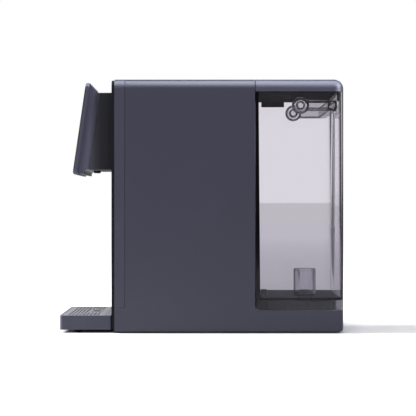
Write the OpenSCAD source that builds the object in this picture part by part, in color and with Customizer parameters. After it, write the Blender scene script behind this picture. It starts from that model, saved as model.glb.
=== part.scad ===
// Countertop reverse osmosis water purifier: a slim column with a dispensing head on its front,
// a lift-out clear tank with a carry handle behind it, and a pull-out drip tray.
// Millimetres. +Z is up, the front faces -Y, and the origin lies under the middle of the footprint.

/* [Body] */
// Width over the two side walls
body_w = 195; // [178:1:220]
// Height of the top face above the counter
body_h = 382; // [345:1:430]
// Depth of the column from its front face to the tank bay
column_d = 211; // [200:1:240]
// Depth of the tank bay behind the column
bay_d = 134; // [126:1:160]
// Height of the deck that the tank stands on
deck_h = 34; // [33:0.5:42]
// Thickness of the moulded side walls
wall = 3; // [2.4:0.1:3.4]
// Thickness of the top of the column
top_wall = 5; // [4.6:0.1:6.5]
// Radius of the long rounded top edges
edge_r = 14; // [11:0.5:15]
// Radius of the upright rear corners
corner_r = 16; // [15:0.5:20]
// Radius of the rounded rear edge at the foot of the body
heel_r = 5; // [3:0.5:6]
// Radius of the lower inside corner of the tank bay
bay_r = 7; // [4:0.5:9]
// Gap at the visible seams
seam = 0.5; // [0.3:0.1:0.8]
// Height of the lower edge of the housing above the counter
shell_lift = 3; // [2.6:0.1:3.6]
// Height of the underside of the base plate above the counter
base_lift = 1; // [0.8:0.1:1.4]
// Height of the upper face of the base plate above the counter
floor_z = 6; // [5.5:0.1:7]

/* [Front] */
// How far the front cover wraps round the sides
cover_wrap = 16; // [12:0.5:20]
// Height of the toe under the front cover
toe_h = 38; // [36:0.5:44]
// Thickness of the dark front plate
plate_t = 4.5; // [3:0.1:6]
// How far the front plate is set in from the sides
plate_inset = 4; // [2:0.5:8]
// Length of the lip that locates the cover in the housing
lip_l = 6; // [4:0.5:8]
// Thickness of the locating lip
lip_t = 1.5; // [1:0.1:2]

/* [Dispensing head] */
// Width of the control panel
panel_w = 162; // [150:1:172]
// Length of the control panel up its slope
panel_l = 140; // [134:1:146]
// Lean of the control panel from upright, in degrees
panel_tilt = 8.3; // [4:0.1:11]
// Thickness of the panel frame
panel_t = 5; // [4:0.1:7]
// Thickness of the touch glass
glass_t = 1.2; // [0.8:0.1:2]
// Depth of the panel's lower edge below the top of the body
head_drop = 142.5; // [138:0.5:150]
// How far the lower edge of the panel stands out from the front plate
panel_reach = 60; // [54:1:70]
// Width of the neck behind the panel
neck_w = 134; // [126:1:142]
// Height of the neck from its underside to its top
neck_h = 117; // [112:1:122]
// Radius of the hollow flare between the neck and the panel
flare_r = 22; // [16:1:28]
// Thickness of the head's walls
head_wall = 2.5; // [2:0.1:3]
// Diameter of the spout nozzle
nozzle_d = 11; // [8:0.5:14]
// Distance of the spout from the front plate
nozzle_reach = 29; // [26:0.5:33]
// How far the spout stands out below the neck
nozzle_drop = 3.5; // [2:0.5:6]

/* [Drip tray] */
// Width of the tray
tray_w = 179; // [165:1:188]
// Depth of the tray from front to rear
tray_d = 77; // [70:1:90]
// Height of the tray's rim above its underside
tray_h = 21.4; // [18:0.2:26]
// Height of the tray's feet
tray_lift = 4.8; // [4:0.1:6]
// Thickness of the tray's walls and floor
tray_wall = 2.5; // [2:0.1:3]
// Gap between the tray and the front plate
tray_gap = 1.5; // [1:0.1:3]
// Width of the closed rim at the rear of the tray
rear_rim = 10; // [8:0.5:14]
// Thickness of the drip grille
grille_t = 2; // [1.5:0.1:2.5]
// Width of the grille's slots
slot_w = 2.6; // [2:0.1:3]
// Distance from one row of slots to the next
slot_pitch = 5.4; // [5:0.1:8]

/* [Water tank] */
// Thickness of the tank's walls at the rim
tank_wall = 3; // [2.5:0.1:3.5]
// Thickness of the tank's front wall at the top
front_wall = 4.6; // [4:0.1:5]
// How much thicker the front wall is at the floor
front_draft = 2.4; // [1:0.2:2.8]
// How much thicker the rear wall is at the floor
rear_draft = 2; // [1:0.5:3]
// Height of the hollow skirt under the tank's floor
skirt_h = 15.5; // [14:0.5:18]
// Thickness of the tank's floor
tank_floor_t = 3.5; // [2.5:0.1:4]
// Gap between the tank and the column
bay_gap = 1; // [0.6:0.1:2]
// Outer diameter of the clear standpipe
pipe_d = 34; // [30:0.5:38]
// Height of the standpipe above the tank's floor
pipe_h = 42; // [30:1:60]
// Distance of the outlet from the middle plane
outlet_x = 45; // [42:0.5:50]
// Height of the lid
lid_h = 18.8; // [17:0.2:22]
// Depth of the lid's side tongues below the liner
tongue_h = 8; // [5:0.5:10]

/* [Carry handle] */
// Distance of the handle's pivot from the column
pivot_back = 69; // [66:0.5:74]
// Depth of the handle's pivot below the tank's rim
pivot_down = 20.2; // [19:0.2:26]
// Diameter of the handle's hubs
hub_d = 25.8; // [22:0.2:28]
// Distance from the pivot to the rear edge of the grip
handle_l = 55; // [50:0.5:56]
// Height of the handle's arms and grip
arm_h = 16.5; // [13:0.5:18]
// Diameter of the pivot pins
pivot_d = 8; // [6:0.5:10]

/* [Water system] */
// Gap between the two filter cartridges
filter_gap = 8; // [6:0.5:14]
// Gap between a filter cartridge and the side wall
filter_side = 6.5; // [5:0.5:10]
// Room between the cartridges' grips and the hatch
filter_head = 22; // [12:1:60]
// Diameter of the booster pump's motor
motor_d = 56; // [48:1:58]
// Outer diameter of the water tubes
tube_d = 8; // [6:0.5:9]
// Thickness of the inner frame
frame_t = 3; // [2.5:0.1:4]

/* [Hidden] */
$fn = 64;

// Clearances
fit = 0.15;
rest_gap = 0.3;
run_gap = 0.05;
slide_gap = 0.4;

// Colours
slate = "#45454F";
ink = "#1E1E22";
smoke = [0.72, 0.72, 0.76, 0.45];
steel = "#B8B8BC";
ivory = "#E4E2DA";
board_green = "#2E5A3A";
rubber = "#18181A";
silicone = "#D8D8D4";

// Places from front to rear
total_d = tray_d + tray_gap + plate_t + column_d + bay_d;
tray_front = -total_d / 2;
tray_rear = tray_front + tray_d;
plate_front = tray_rear + tray_gap;
body_front = plate_front + plate_t;
cover_rear = body_front + cover_wrap;
column_rear = body_front + column_d;
body_rear = column_rear + bay_d;
half_w = body_w / 2;
inner_x = half_w - wall;

// Hatch over the filters
hatch_margin = 12;
hatch_side = 9;
hatch_t = 2.4;
hatch_ledge = 4;
hatch_r = 10;
hatch_rib_h = 5;
hatch_rib_t = 2;
hatch_w = body_w - 2 * edge_r - 2 * hatch_side;
hatch_d = column_rear - cover_rear - 2 * hatch_margin;
hatch_y = (cover_rear + column_rear) / 2;

// Front plate and service window behind the head
plate_lift = 6;
plate_drop = 1.5;
plate_r = 11;
window_w = neck_w - 14;
window_foot = 15;
window_head = 12;

// Head, worked out in the leaning frame of its panel
panel_z = body_h - head_drop;
panel_y = plate_front - panel_reach;
panel_r = 8;
glass_margin = 1.5;
panel_back = glass_t + panel_t;
flare_margin = 2;
flare_w = panel_w - 2 * flare_margin;
flare_step = (flare_w - neck_w) / 2;
flare_l = sqrt(2 * flare_step * flare_r - flare_step * flare_step);
parting_inset = 3;
parting_gap = 0.2;
neck_rise = 7;
neck_bottom = panel_z + neck_rise;
neck_top = neck_bottom + neck_h;
chin_l = 10;
chin_r = 5.5;
nozzle_y = plate_front - nozzle_reach;
nozzle_flange_d = nozzle_d + 7;
nozzle_flange_t = 2.5;
nozzle_stem_d = 9;
nozzle_stem_h = 24;
board_w = window_w - 20;
board_t = 1.6;
board_foot = 24;
board_head = 22;

// Feet and base screws
foot_d = 18;
foot_sink = 1.4;
foot_x = half_w - 27.5;
foot_ys = [body_front + 21, column_rear - 20, body_rear - 29];
post_d = 9;
post_x = inner_x - 8.5;
post_ys = [body_front + wall + 6.5, column_rear + 14, body_rear - 22];
screw_d = 3;
screw_l = 14;
screw_head_d = 5.6;
screw_head_t = 1.8;

// Drip tray
tray_r = 5;
tray_foot_d = 15.6;
tray_foot_tip = 8;
tray_foot_x = tray_w / 2 - 17.5;
tray_foot_y = tray_front + 27;
tray_top = tray_lift + tray_h;
tray_ledge = 3;
grille_sink = 0.2;
tongue_x = 55;
tongue_w = 18;
tongue_t = 5;
tongue_z = tray_lift + 5.4;
tongue_reach = tray_gap + plate_t + wall + 3;
hole_r = 8;
hole_rim = 3;
hole_rim_h = 0.5;
slot_l = 23;
slot_columns = 6;
slot_pitch_x = 28;

// Tank
tank_front = column_rear + bay_gap;
tank_z = deck_h + rest_gap;
tank_floor_z = tank_z + skirt_h;
water_z = tank_floor_z + tank_floor_t;
lid_z = body_h - lid_h;
tank_top = lid_z - rest_gap;
outlet_y = column_rear + 78;
pipe_wall = 2;
return_x = outlet_x - 5;
return_y = column_rear + 16;

// Dark plinth on the deck that fills the skirt of the tank
plinth_side = 3;
plinth_back = 8;
plinth_r = 14;
plinth_top_gap = 1.2;
plinth_nose = 12;
plinth_nose_side = 8;
plinth_nose_r = 5;
plinth_hole_gap = 0.6;
rib_t = 1.4;
rib_d = 0.7;
rib_first = 12;
rib_pitch = 17;
rib_count = 5;
plinth_x = half_w - tank_wall - plinth_side;
plinth_front = tank_front + tank_wall + front_draft;
plinth_rear = body_rear - tank_wall - plinth_back;
plinth_top = tank_floor_z - plinth_top_gap;

// Outlet valve of the tank and the dock under it
barrel_r = 8.5;
valve_neck_r = 9.9;
valve_flange_r = 13;
valve_flange_t = 3;
valve_bore_r = 6;
stem_r = 2.5;
stem_guide_r = 4;
stem_guide_t = 3;
spoke_w = 2;
poppet_travel = 4;
poppet_r = 7.5;
poppet_t = 2;
collar_r = 4.5;
collar_t = 1.5;
valve_foot_z = tank_z + 3.4;
seat_z = water_z + valve_flange_t;
poppet_z = seat_z + poppet_travel + rest_gap;
collar_z = valve_foot_z + 2;
guide_z = tank_floor_z - 1.4;
spring_wire = 0.8;
spring_r = 3.5;
spring_turns = 4;
dock_wall = 2.9;
dock_bore_r = barrel_r + 0.6;
dock_r = dock_bore_r + dock_wall;
dock_flange_r = dock_r + 4;
dock_flange_t = 2;
dock_top = deck_h + 12;
dock_floor_z = 17;
dock_floor_t = 4;
dock_pin_r = 1.6;
dock_port_l = 3;
seal_t = 2;
seal_depth = 1;
seal_z = dock_top - 5;
return_r = 5;
return_h = 10;
return_round = 2;
return_stem_r = 4.2;
return_socket_r = 7;
return_socket_wall = 2.4;
return_flange_r = return_socket_r + 1.8;
return_top = deck_h + 10;
return_bottom = deck_h - wall - 7;
return_tube_d = 5;
return_tube_z = deck_h - wall - 3.5;

// Lid
lid_seam = 0.9;
lid_front = column_rear + lid_seam;
lid_rim = 13.5;
lid_front_rim = 4;
lid_roof = 3.5;
liner_drop = 2.2;
liner_side = 2;
liner_x = half_w - tank_wall - liner_side;
liner_front = tank_front + front_wall + 1.4;
liner_rear = body_rear - 12;
tongue_front = column_rear + 17;
tongue_l = 37;
tongue_wall = 3;
clip_x = half_w - 19.5;
clip_w = 12;
clip_t = 2.4;
clip_h = 12.5;
clip_nose = 1.6;
clip_y = body_rear - tank_wall - 5.2;

// Carry handle
pivot_y = column_rear + pivot_back;
pivot_z = tank_top - pivot_down;
hub_t = 8;
boss_r = 7.5;
boss_t = 4.2;
pin_seat = 0.05;
hub_outer = half_w - tank_wall - boss_t - rest_gap;
arm_t = 6;
arm_inset = 1;
grip_d = 14;
grip_r = 6.5;
arm_slot_l = 12;
arm_slot_h = 2.4;
channel_d = 3;
channel_rim = 2;
grip_wall = 2.6;
ring_inset = 2.4;
ring_w = 2.2;
ring_d = 2;

// Filters, frame and the front bay
filter_clear = 6;
filter_d = inner_x - filter_gap / 2 - filter_side;
filter_x = filter_d / 2 + filter_gap / 2;
filter_y = column_rear - wall - filter_clear - filter_d / 2;
bulkhead_rear = filter_y - filter_d / 2 - filter_clear;
bulkhead_front = bulkhead_rear - frame_t;
frame_side = 0.5;
frame_head = 22;
frame_x = inner_x - frame_side;
frame_top = body_h - frame_head;
shelf_rise = 45;
shelf_z = floor_z + shelf_rise;
upper_rise = 155;
upper_z = shelf_z + upper_rise;
upper_reach = 80;
upper_front = bulkhead_front - upper_reach;
manifold_margin = 2;
manifold_h = 22;
manifold_r = 3;
manifold_front = filter_y - filter_d / 2 + manifold_margin;
manifold_x = filter_x + filter_d / 2 - manifold_margin;
socket_h = 12;
socket_wall = 4;
filter_neck_r = 25.5;
socket_bore_r = filter_neck_r + 0.5;
filter_neck_h = 14;
filter_z = shelf_z + manifold_h + socket_h - filter_neck_h + rest_gap;
crown_r = 14;
grip_w = 12;
grip_h = 13;
filter_grip_l = 58;
filter_l = body_h - hatch_t - hatch_rib_h - filter_head - grip_h - filter_z;
concentrate_y = manifold_front + 7;
oring_t = 2;
oring_z = 4;
oring_r = socket_bore_r - run_gap;
port_l = 5;
probe_r = 5;
probe_h = 24;

// Booster pump
pump_x = outlet_x;
pump_head = 62;
pump_head_l = 48;
pump_head_r = 8;
pump_head_x = pump_x - 25;
pump_back = 13;
pure_x = -manifold_x + manifold_r + tube_d / 2 + 2;
motor_gap = 3;
motor_l = pump_head_x - pure_x - tube_d / 2 - motor_gap;
pump_y = bulkhead_front - pump_head / 2 - pump_back;
mount_h = 4;
mount_r = 6;
bracket_t = 3;
bracket_z = floor_z + mount_h;
pump_z = bracket_z + bracket_t + pump_head / 2;
saddle_t = 10;
saddle_inset = 6;
wall_gusset_l = 30;
wall_gusset_h = 36;
bay_gusset_l = 60;
bay_gusset_h = 40;
saddle_rise = 5;
bracket_trim = 10;
bracket_margin = 4;
feed_z = floor_z + 13;
pressure_x = pump_x + 15;
pressure_z = shelf_z + manifold_h / 2;

// Valves under the filter shelf
valve_w = 26;
valve_l = 40;
valve_t = 14;
coil_w = 24;
coil_l = 26;
valve_port_l = 2;
valve_port_d = 9;

// Upper front bay
spout_side = 8;
heater_back = 44;
heater_x = window_w / 2 - spout_side;
heater_y = bulkhead_front - heater_back;
heater_r = 22;
heater_cap_r = 24;
heater_cap_h = 8;
heater_foot = 6;
heater_crown = 12;
spout_rise = 73.5;
spout_z = neck_bottom + spout_rise;
heater_h = spout_z + heater_crown - upper_z - heater_foot;
clip_band = 10;
clip_pad = 4;
clip_arm_w = 24;
cistern_side = 4;
cistern_gap = 18;
cistern_back = 4;
cistern_head = 36;
cistern_x0 = -frame_x + cistern_side;
cistern_w = heater_x - heater_cap_r - cistern_gap - cistern_x0;
cistern_d = 74;
cistern_h = body_h - cistern_head - upper_z;
cistern_wall = 2;
cistern_r = 8;
cistern_lid_t = 2.5;
cistern_plug = 4;
cistern_front = bulkhead_front - cistern_back - cistern_d;
pure_back = 23;
pure_y = bulkhead_front - pure_back;
delivery_x = cistern_x0 + 70;
delivery_r = 17;
delivery_h = 40;
delivery_port_drop = 26;
delivery_port_z = upper_z - frame_t - delivery_port_drop;
supply_side = 4;
supply_x0 = pure_x + tube_d / 2 + supply_side;
supply_w = 84;
supply_d = 40;
supply_h = 60;
supply_rise = 41;
supply_z = shelf_z + supply_rise;
logic_gap = 3;
logic_side = 6;
logic_x0 = supply_x0 + supply_w + logic_gap;
logic_w = frame_x - logic_side - logic_x0;
logic_h = 98;
relay_t = 14;
relay_z = 8;
relay_h = 18;
plug_t = 8;
plug_z = 74;
plug_h = 9;
chip_t = 3;
chip_z = 40;
solder = 0.5;
standoff_l = 3;
standoff_r = 3;
standoff_inset = 5;

// Mains inlet in the rear of the base
inlet_x = -50;
inlet_w = 27;
inlet_h = 19;
inlet_depth = 22;
inlet_rim = 1.5;
inlet_flange = 2;
inlet_z = (floor_z + deck_h - wall) / 2 + 0.5;

// A YZ outline carried over a width along X, centred
module across(w) {
    translate([-w / 2, 0, 0]) rotate([90, 0, 90]) linear_extrude(w) children();
}

// An XZ outline carried along Y from one place to another
module along(y0, y1) {
    translate([0, y1, 0]) rotate([90, 0, 0]) linear_extrude(y1 - y0) children();
}

// An upright outline with square feet and rounded shoulders
module arch(w, z0, z1, r) {
    translate([-w / 2, z0]) square([w, z1 - z0 - r]);
    translate([-w / 2 + r, z0]) square([w - 2 * r, z1 - z0]);
    for (side = [-1, 1]) translate([side * (w / 2 - r), z1 - r]) circle(r);
}

// A plan outline with square front corners and rounded rear corners
module rear_rounded(w, y0, y1, r) {
    translate([-w / 2, y0]) square([w, y1 - y0 - r]);
    translate([-w / 2 + r, y0]) square([w - 2 * r, y1 - y0]);
    for (side = [-1, 1]) translate([side * (w / 2 - r), y1 - r]) circle(r);
}

module rounded_rect(w, d, r) {
    square([w - 2 * r, d], center = true);
    square([w, d - 2 * r], center = true);
    for (x = [-1, 1], y = [-1, 1]) translate([x * (w / 2 - r), y * (d / 2 - r)]) circle(r);
}

// A slot with round ends, lying along X
module slot(l, w) {
    square([l - w, w], center = true);
    for (side = [-1, 1]) translate([side * (l - w) / 2, 0]) circle(w / 2);
}

module ring(r_out, r_in, h) {
    difference() {
        cylinder(r = r_out, h = h);
        translate([0, 0, -1]) cylinder(r = r_in, h = h + 2);
    }
}

// A water tube along points that lie on square turns, with swept elbows
module tube_run(points, d, bend) {
    last = len(points) - 1;
    for (i = [0 : last - 1]) {
        run = points[i + 1] - points[i];
        dir = run / norm(run);
        from = i == 0 ? points[i] : points[i] + bend * dir;
        to = i == last - 1 ? points[i + 1] : points[i + 1] - bend * dir;
        straight(from, to, d);
    }
    if (last > 1) for (i = [1 : last - 1]) {
        before = (points[i] - points[i - 1]) / norm(points[i] - points[i - 1]);
        after = (points[i + 1] - points[i]) / norm(points[i + 1] - points[i]);
        elbow(points[i], before, after, d, bend);
    }
}

// A straight stretch of tube along one of the three axes
module straight(from, to, d) {
    run = to - from;
    l = norm(run);
    turn = abs(run[0]) > abs(run[1]) + abs(run[2]) ? [0, 90 * sign(run[0]), 0]
        : abs(run[1]) > abs(run[2]) ? [-90 * sign(run[1]), 0, 0]
        : [run[2] > 0 ? 0 : 180, 0, 0];
    translate(from) rotate(turn) cylinder(d = d, h = l);
}

// A quarter turn of tube at a corner point
module elbow(corner, before, after, d, bend) {
    middle = corner - bend * before + bend * after;
    up = cross(before, after);
    multmatrix([
        [-after[0], before[0], up[0], middle[0]],
        [-after[1], before[1], up[1], middle[1]],
        [-after[2], before[2], up[2], middle[2]],
        [0, 0, 0, 1]
    ]) rotate_extrude(angle = 90) translate([bend, 0]) circle(d = d);
}

// Side view of the housing: column, toe, base and the rounded corner of the tank bay
module housing_outline() {
    translate([cover_rear, shell_lift]) square([column_rear - cover_rear, body_h - shell_lift]);
    translate([body_front, shell_lift]) square([cover_wrap + 1, toe_h - shell_lift]);
    translate([body_front, shell_lift]) square([body_rear - body_front - heel_r, deck_h - shell_lift]);
    translate([body_front, shell_lift + heel_r])
        square([body_rear - body_front, deck_h - shell_lift - heel_r]);
    translate([body_rear - heel_r, shell_lift + heel_r]) circle(heel_r);
    difference() {
        translate([column_rear - 1, deck_h - 1]) square(bay_r + 1);
        translate([column_rear + bay_r, deck_h + bay_r]) circle(bay_r);
    }
}

// Room inside the housing, open below and at the front
module housing_room() {
    along(cover_rear - 1, column_rear - wall)
        arch(body_w - 2 * wall, -1, body_h - top_wall, edge_r - wall);
    translate([-inner_x, body_front + wall, -1])
        cube([2 * inner_x, cover_wrap + 1, toe_h - wall + 1]);
    translate([0, 0, -1]) linear_extrude(deck_h - wall + 1)
        rear_rounded(body_w - 2 * wall, column_rear - 2 * wall, body_rear - wall, corner_r - wall);
}

// Posts under the deck and the toe that take the base screws
module screw_posts() {
    for (side = [-1, 1], i = [0 : 2])
        translate([side * post_x, post_ys[i], floor_z + fit])
            cylinder(d = post_d, h = (i == 0 ? toe_h : deck_h) - wall / 2 - floor_z - fit);
}

// Slots for the two tongues of the drip tray
module tray_slots() {
    for (side = [-1, 1])
        translate([side * tongue_x - tongue_w / 2 - slide_gap, plate_front - 1, tongue_z - slide_gap])
            cube([tongue_w + 2 * slide_gap, plate_t + wall + 2, tongue_t + 2 * slide_gap]);
}

module hatch_opening() {
    translate([0, hatch_y, body_h - hatch_t - rest_gap]) linear_extrude(hatch_t + 1)
        rounded_rect(hatch_w + 2 * seam, hatch_d + 2 * seam, hatch_r + seam);
    translate([0, hatch_y, body_h - top_wall - 1]) linear_extrude(top_wall + 1)
        rounded_rect(hatch_w - 2 * hatch_ledge, hatch_d - 2 * hatch_ledge, hatch_r - hatch_ledge);
}

module body_housing() {
    color(slate) difference() {
        union() {
            difference() {
                intersection() {
                    across(body_w) housing_outline();
                    along(body_front, body_rear) arch(body_w, 0, body_h, edge_r);
                    linear_extrude(body_h) rear_rounded(body_w, body_front, body_rear, corner_r);
                }
                housing_room();
            }
            screw_posts();
        }
        hatch_opening();
        tray_slots();
        translate([outlet_x, outlet_y, 0]) cylinder(r = dock_r + fit, h = deck_h + 1);
        translate([return_x, return_y, 0]) cylinder(r = return_socket_r + fit, h = deck_h + 1);
        translate([inlet_x, body_rear, inlet_z]) rotate([90, 0, 0])
            linear_extrude(3 * wall, center = true) rounded_rect(inlet_w + 2 * fit, inlet_h + 2 * fit, 2);
        for (side = [-1, 1], y = post_ys)
            translate([side * post_x, y, 0]) cylinder(d = screw_d + 2 * run_gap, h = base_lift + screw_l + 2);
    }
}

module service_window(y0, y1) {
    translate([-window_w / 2, y0, neck_bottom + window_foot])
        cube([window_w, y1 - y0, neck_h - window_foot - window_head]);
}

module front_cover() {
    lip_w = body_w - 2 * wall - 2 * fit;
    lip_top = body_h - top_wall - fit;
    lip_r = edge_r - wall - fit;
    color(slate) difference() {
        union() {
            along(body_front, cover_rear - seam) arch(body_w, toe_h + seam, body_h, edge_r);
            along(body_front, cover_rear + lip_l) arch(lip_w, toe_h + seam, lip_top, lip_r);
        }
        along(body_front + wall, cover_rear + lip_l + 1)
            arch(lip_w - 2 * lip_t, toe_h - 1, lip_top - lip_t, lip_r - lip_t);
        service_window(body_front - 1, body_front + wall + 1);
    }
}

module front_plate() {
    color(ink) difference() {
        along(plate_front, body_front)
            arch(body_w - 2 * plate_inset, plate_lift, body_h - plate_drop, plate_r);
        service_window(plate_front - 1, body_front + 1);
        tray_slots();
    }
}

module base_plate() {
    flange_inset = 3;
    plug = wall + fit;
    color(ink) difference() {
        translate([0, 0, base_lift]) union() {
            linear_extrude(shell_lift - base_lift - fit)
                rear_rounded(body_w - 2 * flange_inset, body_front + flange_inset,
                    body_rear - heel_r, corner_r - flange_inset);
            linear_extrude(floor_z - base_lift)
                rear_rounded(body_w - 2 * plug, body_front + plug, body_rear - heel_r - fit, corner_r - plug);
        }
        for (side = [-1, 1], y = foot_ys)
            translate([side * foot_x, y, 0]) cylinder(d = foot_d + 2 * fit, h = base_lift + foot_sink + fit);
        for (side = [-1, 1], y = post_ys) {
            translate([side * post_x, y, 0]) cylinder(d = screw_d + 2 * fit, h = floor_z + 1);
            translate([side * post_x, y, 0])
                cylinder(d = screw_head_d + 4 * fit, h = base_lift + screw_head_t + fit);
        }
        for (i = [-4 : 4])
            translate([i * 9, pump_y, 0]) linear_extrude(floor_z + 1) rotate(90) slot(44, 4);
    }
}

module rubber_feet() {
    color(rubber) for (side = [-1, 1], y = foot_ys)
        translate([side * foot_x, y, 0]) cylinder(d = foot_d, h = base_lift + foot_sink);
}

module base_screws() {
    color(steel) for (side = [-1, 1], y = post_ys)
        translate([side * post_x, y, base_lift]) {
            cylinder(d = screw_head_d, h = screw_head_t);
            cylinder(d = screw_d, h = screw_l);
        }
}

// Frame of the leaning control panel: +Y goes back through it and +Z up its slope
module panel_frame() {
    translate([0, panel_y, panel_z]) rotate([-panel_tilt, 0, 0]) children();
}

// A point of the panel's frame in the side view of the whole object
function panel_point(back, up) = [
    panel_y + back * cos(panel_tilt) + up * sin(panel_tilt),
    panel_z - back * sin(panel_tilt) + up * cos(panel_tilt)
];

// A plate that lies in the panel's slope, from one depth behind its face to another
module panel_plate(w, l, r, back, t) {
    panel_frame() translate([0, back + t, panel_l / 2]) rotate([90, 0, 0])
        linear_extrude(t) rounded_rect(w, l, r);
}

// Side view of the head: chin, straight underside, flat top and the slope up to the panel
module head_outline() {
    crest = panel_point(panel_back, panel_l - flare_margin);
    chin = panel_point(panel_back + chin_l, flare_margin);
    polygon([
        panel_point(panel_back, flare_margin),
        chin,
        [chin[0], neck_bottom],
        [plate_front, neck_bottom],
        [plate_front, neck_top],
        [crest[0] + crest[1] - neck_top, neck_top],
        crest
    ]);
    difference() {
        translate([chin[0] - 1, neck_bottom - chin_r]) square(chin_r + 1);
        translate([chin[0] + chin_r, neck_bottom - chin_r]) circle(chin_r);
    }
}

// Plan of the head square to the panel: straight neck and a hollow flare out to the panel
module head_plan() {
    translate([-neck_w / 2, 0]) square([neck_w, 3 * panel_reach]);
    difference() {
        translate([-flare_w / 2, panel_back]) square([flare_w, flare_l]);
        for (side = [-1, 1])
            translate([side * (neck_w / 2 + flare_r), panel_back + flare_l]) circle(flare_r);
    }
}

// Shell of the whole head, from the back of the panel to the front plate
module head_shell() {
    room_w = neck_w - 2 * head_wall;
    difference() {
        intersection() {
            across(panel_w) head_outline();
            panel_frame() translate([0, 0, -panel_l / 2]) linear_extrude(2 * panel_l) head_plan();
        }
        intersection() {
            across(room_w) translate([plate_front - panel_reach, neck_bottom + head_wall])
                square([panel_reach + 1, neck_h - 2 * head_wall]);
            panel_frame() translate([-panel_w / 2, panel_back + head_wall, -panel_l / 2])
                cube([panel_w, 2 * panel_l, 2 * panel_l]);
        }
        panel_frame() translate([-board_w / 2 - 1, panel_back - 1, board_foot - 1])
            cube([board_w + 2, head_wall + 2, panel_l - board_foot - board_head + 2]);
        translate([0, nozzle_y, 0]) cylinder(d = nozzle_d + 2 * fit, h = neck_bottom + head_wall + 1);
    }
}

// Everything in front of the head's parting line, which lies square to the panel near the end of the flare
module head_front(gap) {
    panel_frame() translate([-panel_w, -panel_l, -panel_l])
        cube([2 * panel_w, panel_l + panel_back + flare_l - parting_inset - gap, 3 * panel_l]);
}

module head_housing() {
    color(ink) difference() {
        head_shell();
        head_front(0);
    }
}

module head_panel() {
    color(slate) {
        panel_plate(panel_w, panel_l, panel_r, glass_t, panel_t);
        intersection() {
            head_shell();
            head_front(parting_gap);
        }
    }
}

module touch_glass() {
    color("#0B0B0D")
        panel_plate(panel_w - 2 * glass_margin, panel_l - 2 * glass_margin, panel_r - glass_margin, 0, glass_t);
}

module display_board() {
    color(board_green) panel_frame() translate([-board_w / 2, panel_back, board_foot]) {
        cube([board_w, board_t, panel_l - board_foot - board_head]);
        for (i = [0 : 3]) translate([8 + i * (board_w - 24) / 3, board_t, 40]) cube([8, 1.5, 14]);
        translate([board_w / 2 - 12, board_t, 12]) cube([24, 6, 6]);
    }
}

module spout_nozzle() {
    seat = neck_bottom + head_wall;
    color(ink) translate([0, nozzle_y, 0]) difference() {
        union() {
            translate([0, 0, neck_bottom - nozzle_drop]) cylinder(d = nozzle_d, h = nozzle_drop + head_wall);
            translate([0, 0, seat]) cylinder(d = nozzle_flange_d, h = nozzle_flange_t);
            translate([0, 0, seat]) cylinder(d = nozzle_stem_d, h = nozzle_stem_h);
        }
        translate([0, 0, neck_bottom - nozzle_drop - 1])
            cylinder(d = nozzle_stem_d - 3, h = nozzle_drop + nozzle_stem_h);
    }
}

module top_hatch() {
    rib_w = hatch_w - 2 * hatch_ledge - 2 * slide_gap;
    rib_d = hatch_d - 2 * hatch_ledge - 2 * slide_gap;
    rib_r = hatch_r - hatch_ledge - slide_gap;
    scoop_r = 12;
    color(slate) translate([0, hatch_y, body_h - hatch_t]) difference() {
        union() {
            linear_extrude(hatch_t) rounded_rect(hatch_w, hatch_d, hatch_r);
            translate([0, 0, -hatch_rib_h]) linear_extrude(hatch_rib_h) difference() {
                rounded_rect(rib_w, rib_d, rib_r);
                rounded_rect(rib_w - 2 * hatch_rib_t, rib_d - 2 * hatch_rib_t, rib_r - hatch_rib_t);
            }
        }
        translate([0, -hatch_d / 2 + scoop_r + 8, hatch_t / 2]) cylinder(r = scoop_r, h = hatch_t);
    }
}

module gusset(l, h) {
    polygon([[0, 0], [l, 0], [0, h]]);
}

// Bulkhead between the pump bay and the filters, with a shelf on either side
module inner_frame() {
    shelf_l = column_rear - wall - fit - bulkhead_front;
    hole_d = tube_d + 4 * fit;
    color(ivory) difference() {
        union() {
            translate([-frame_x, bulkhead_front, floor_z]) cube([2 * frame_x, frame_t, frame_top - floor_z]);
            translate([-frame_x, bulkhead_front, shelf_z - frame_t]) cube([2 * frame_x, shelf_l, frame_t]);
            translate([-frame_x, upper_front, upper_z - frame_t])
                cube([2 * frame_x, bulkhead_rear - upper_front, frame_t]);
            for (x = [-frame_x, -frame_t / 2, frame_x - frame_t])
                translate([x, bulkhead_rear, shelf_z - frame_t]) rotate([90, 0, 90])
                    linear_extrude(frame_t) mirror([0, 1]) gusset(wall_gusset_l, wall_gusset_h);
            for (x = [-frame_x, frame_x - frame_t])
                translate([x, bulkhead_front, upper_z - frame_t]) rotate([90, 0, 90])
                    linear_extrude(frame_t) mirror([1, 0]) mirror([0, 1]) gusset(bay_gusset_l, bay_gusset_h);
            for (x = [logic_x0 + standoff_inset, logic_x0 + logic_w - standoff_inset],
                 z = [standoff_inset, logic_h - standoff_inset])
                translate([x, bulkhead_front, supply_z + z]) rotate([90, 0, 0])
                    cylinder(r = standoff_r, h = standoff_l);
        }
        translate([pump_x, bulkhead_front - 1, feed_z]) rotate([-90, 0, 0]) cylinder(d = hole_d, h = frame_t + 2);
        for (x = [pressure_x, pure_x])
            translate([x, bulkhead_front - 1, pressure_z]) rotate([-90, 0, 0])
                cylinder(d = hole_d, h = frame_t + 2);
        for (p = [[pure_x, pure_y], [heater_x, heater_y], [delivery_x, heater_y]])
            translate([p[0], p[1], upper_z - frame_t - 1]) cylinder(d = hole_d, h = frame_t + 2);
        translate([-filter_x, concentrate_y, shelf_z - frame_t - 1]) cylinder(d = hole_d, h = frame_t + 2);
    }
}

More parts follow.
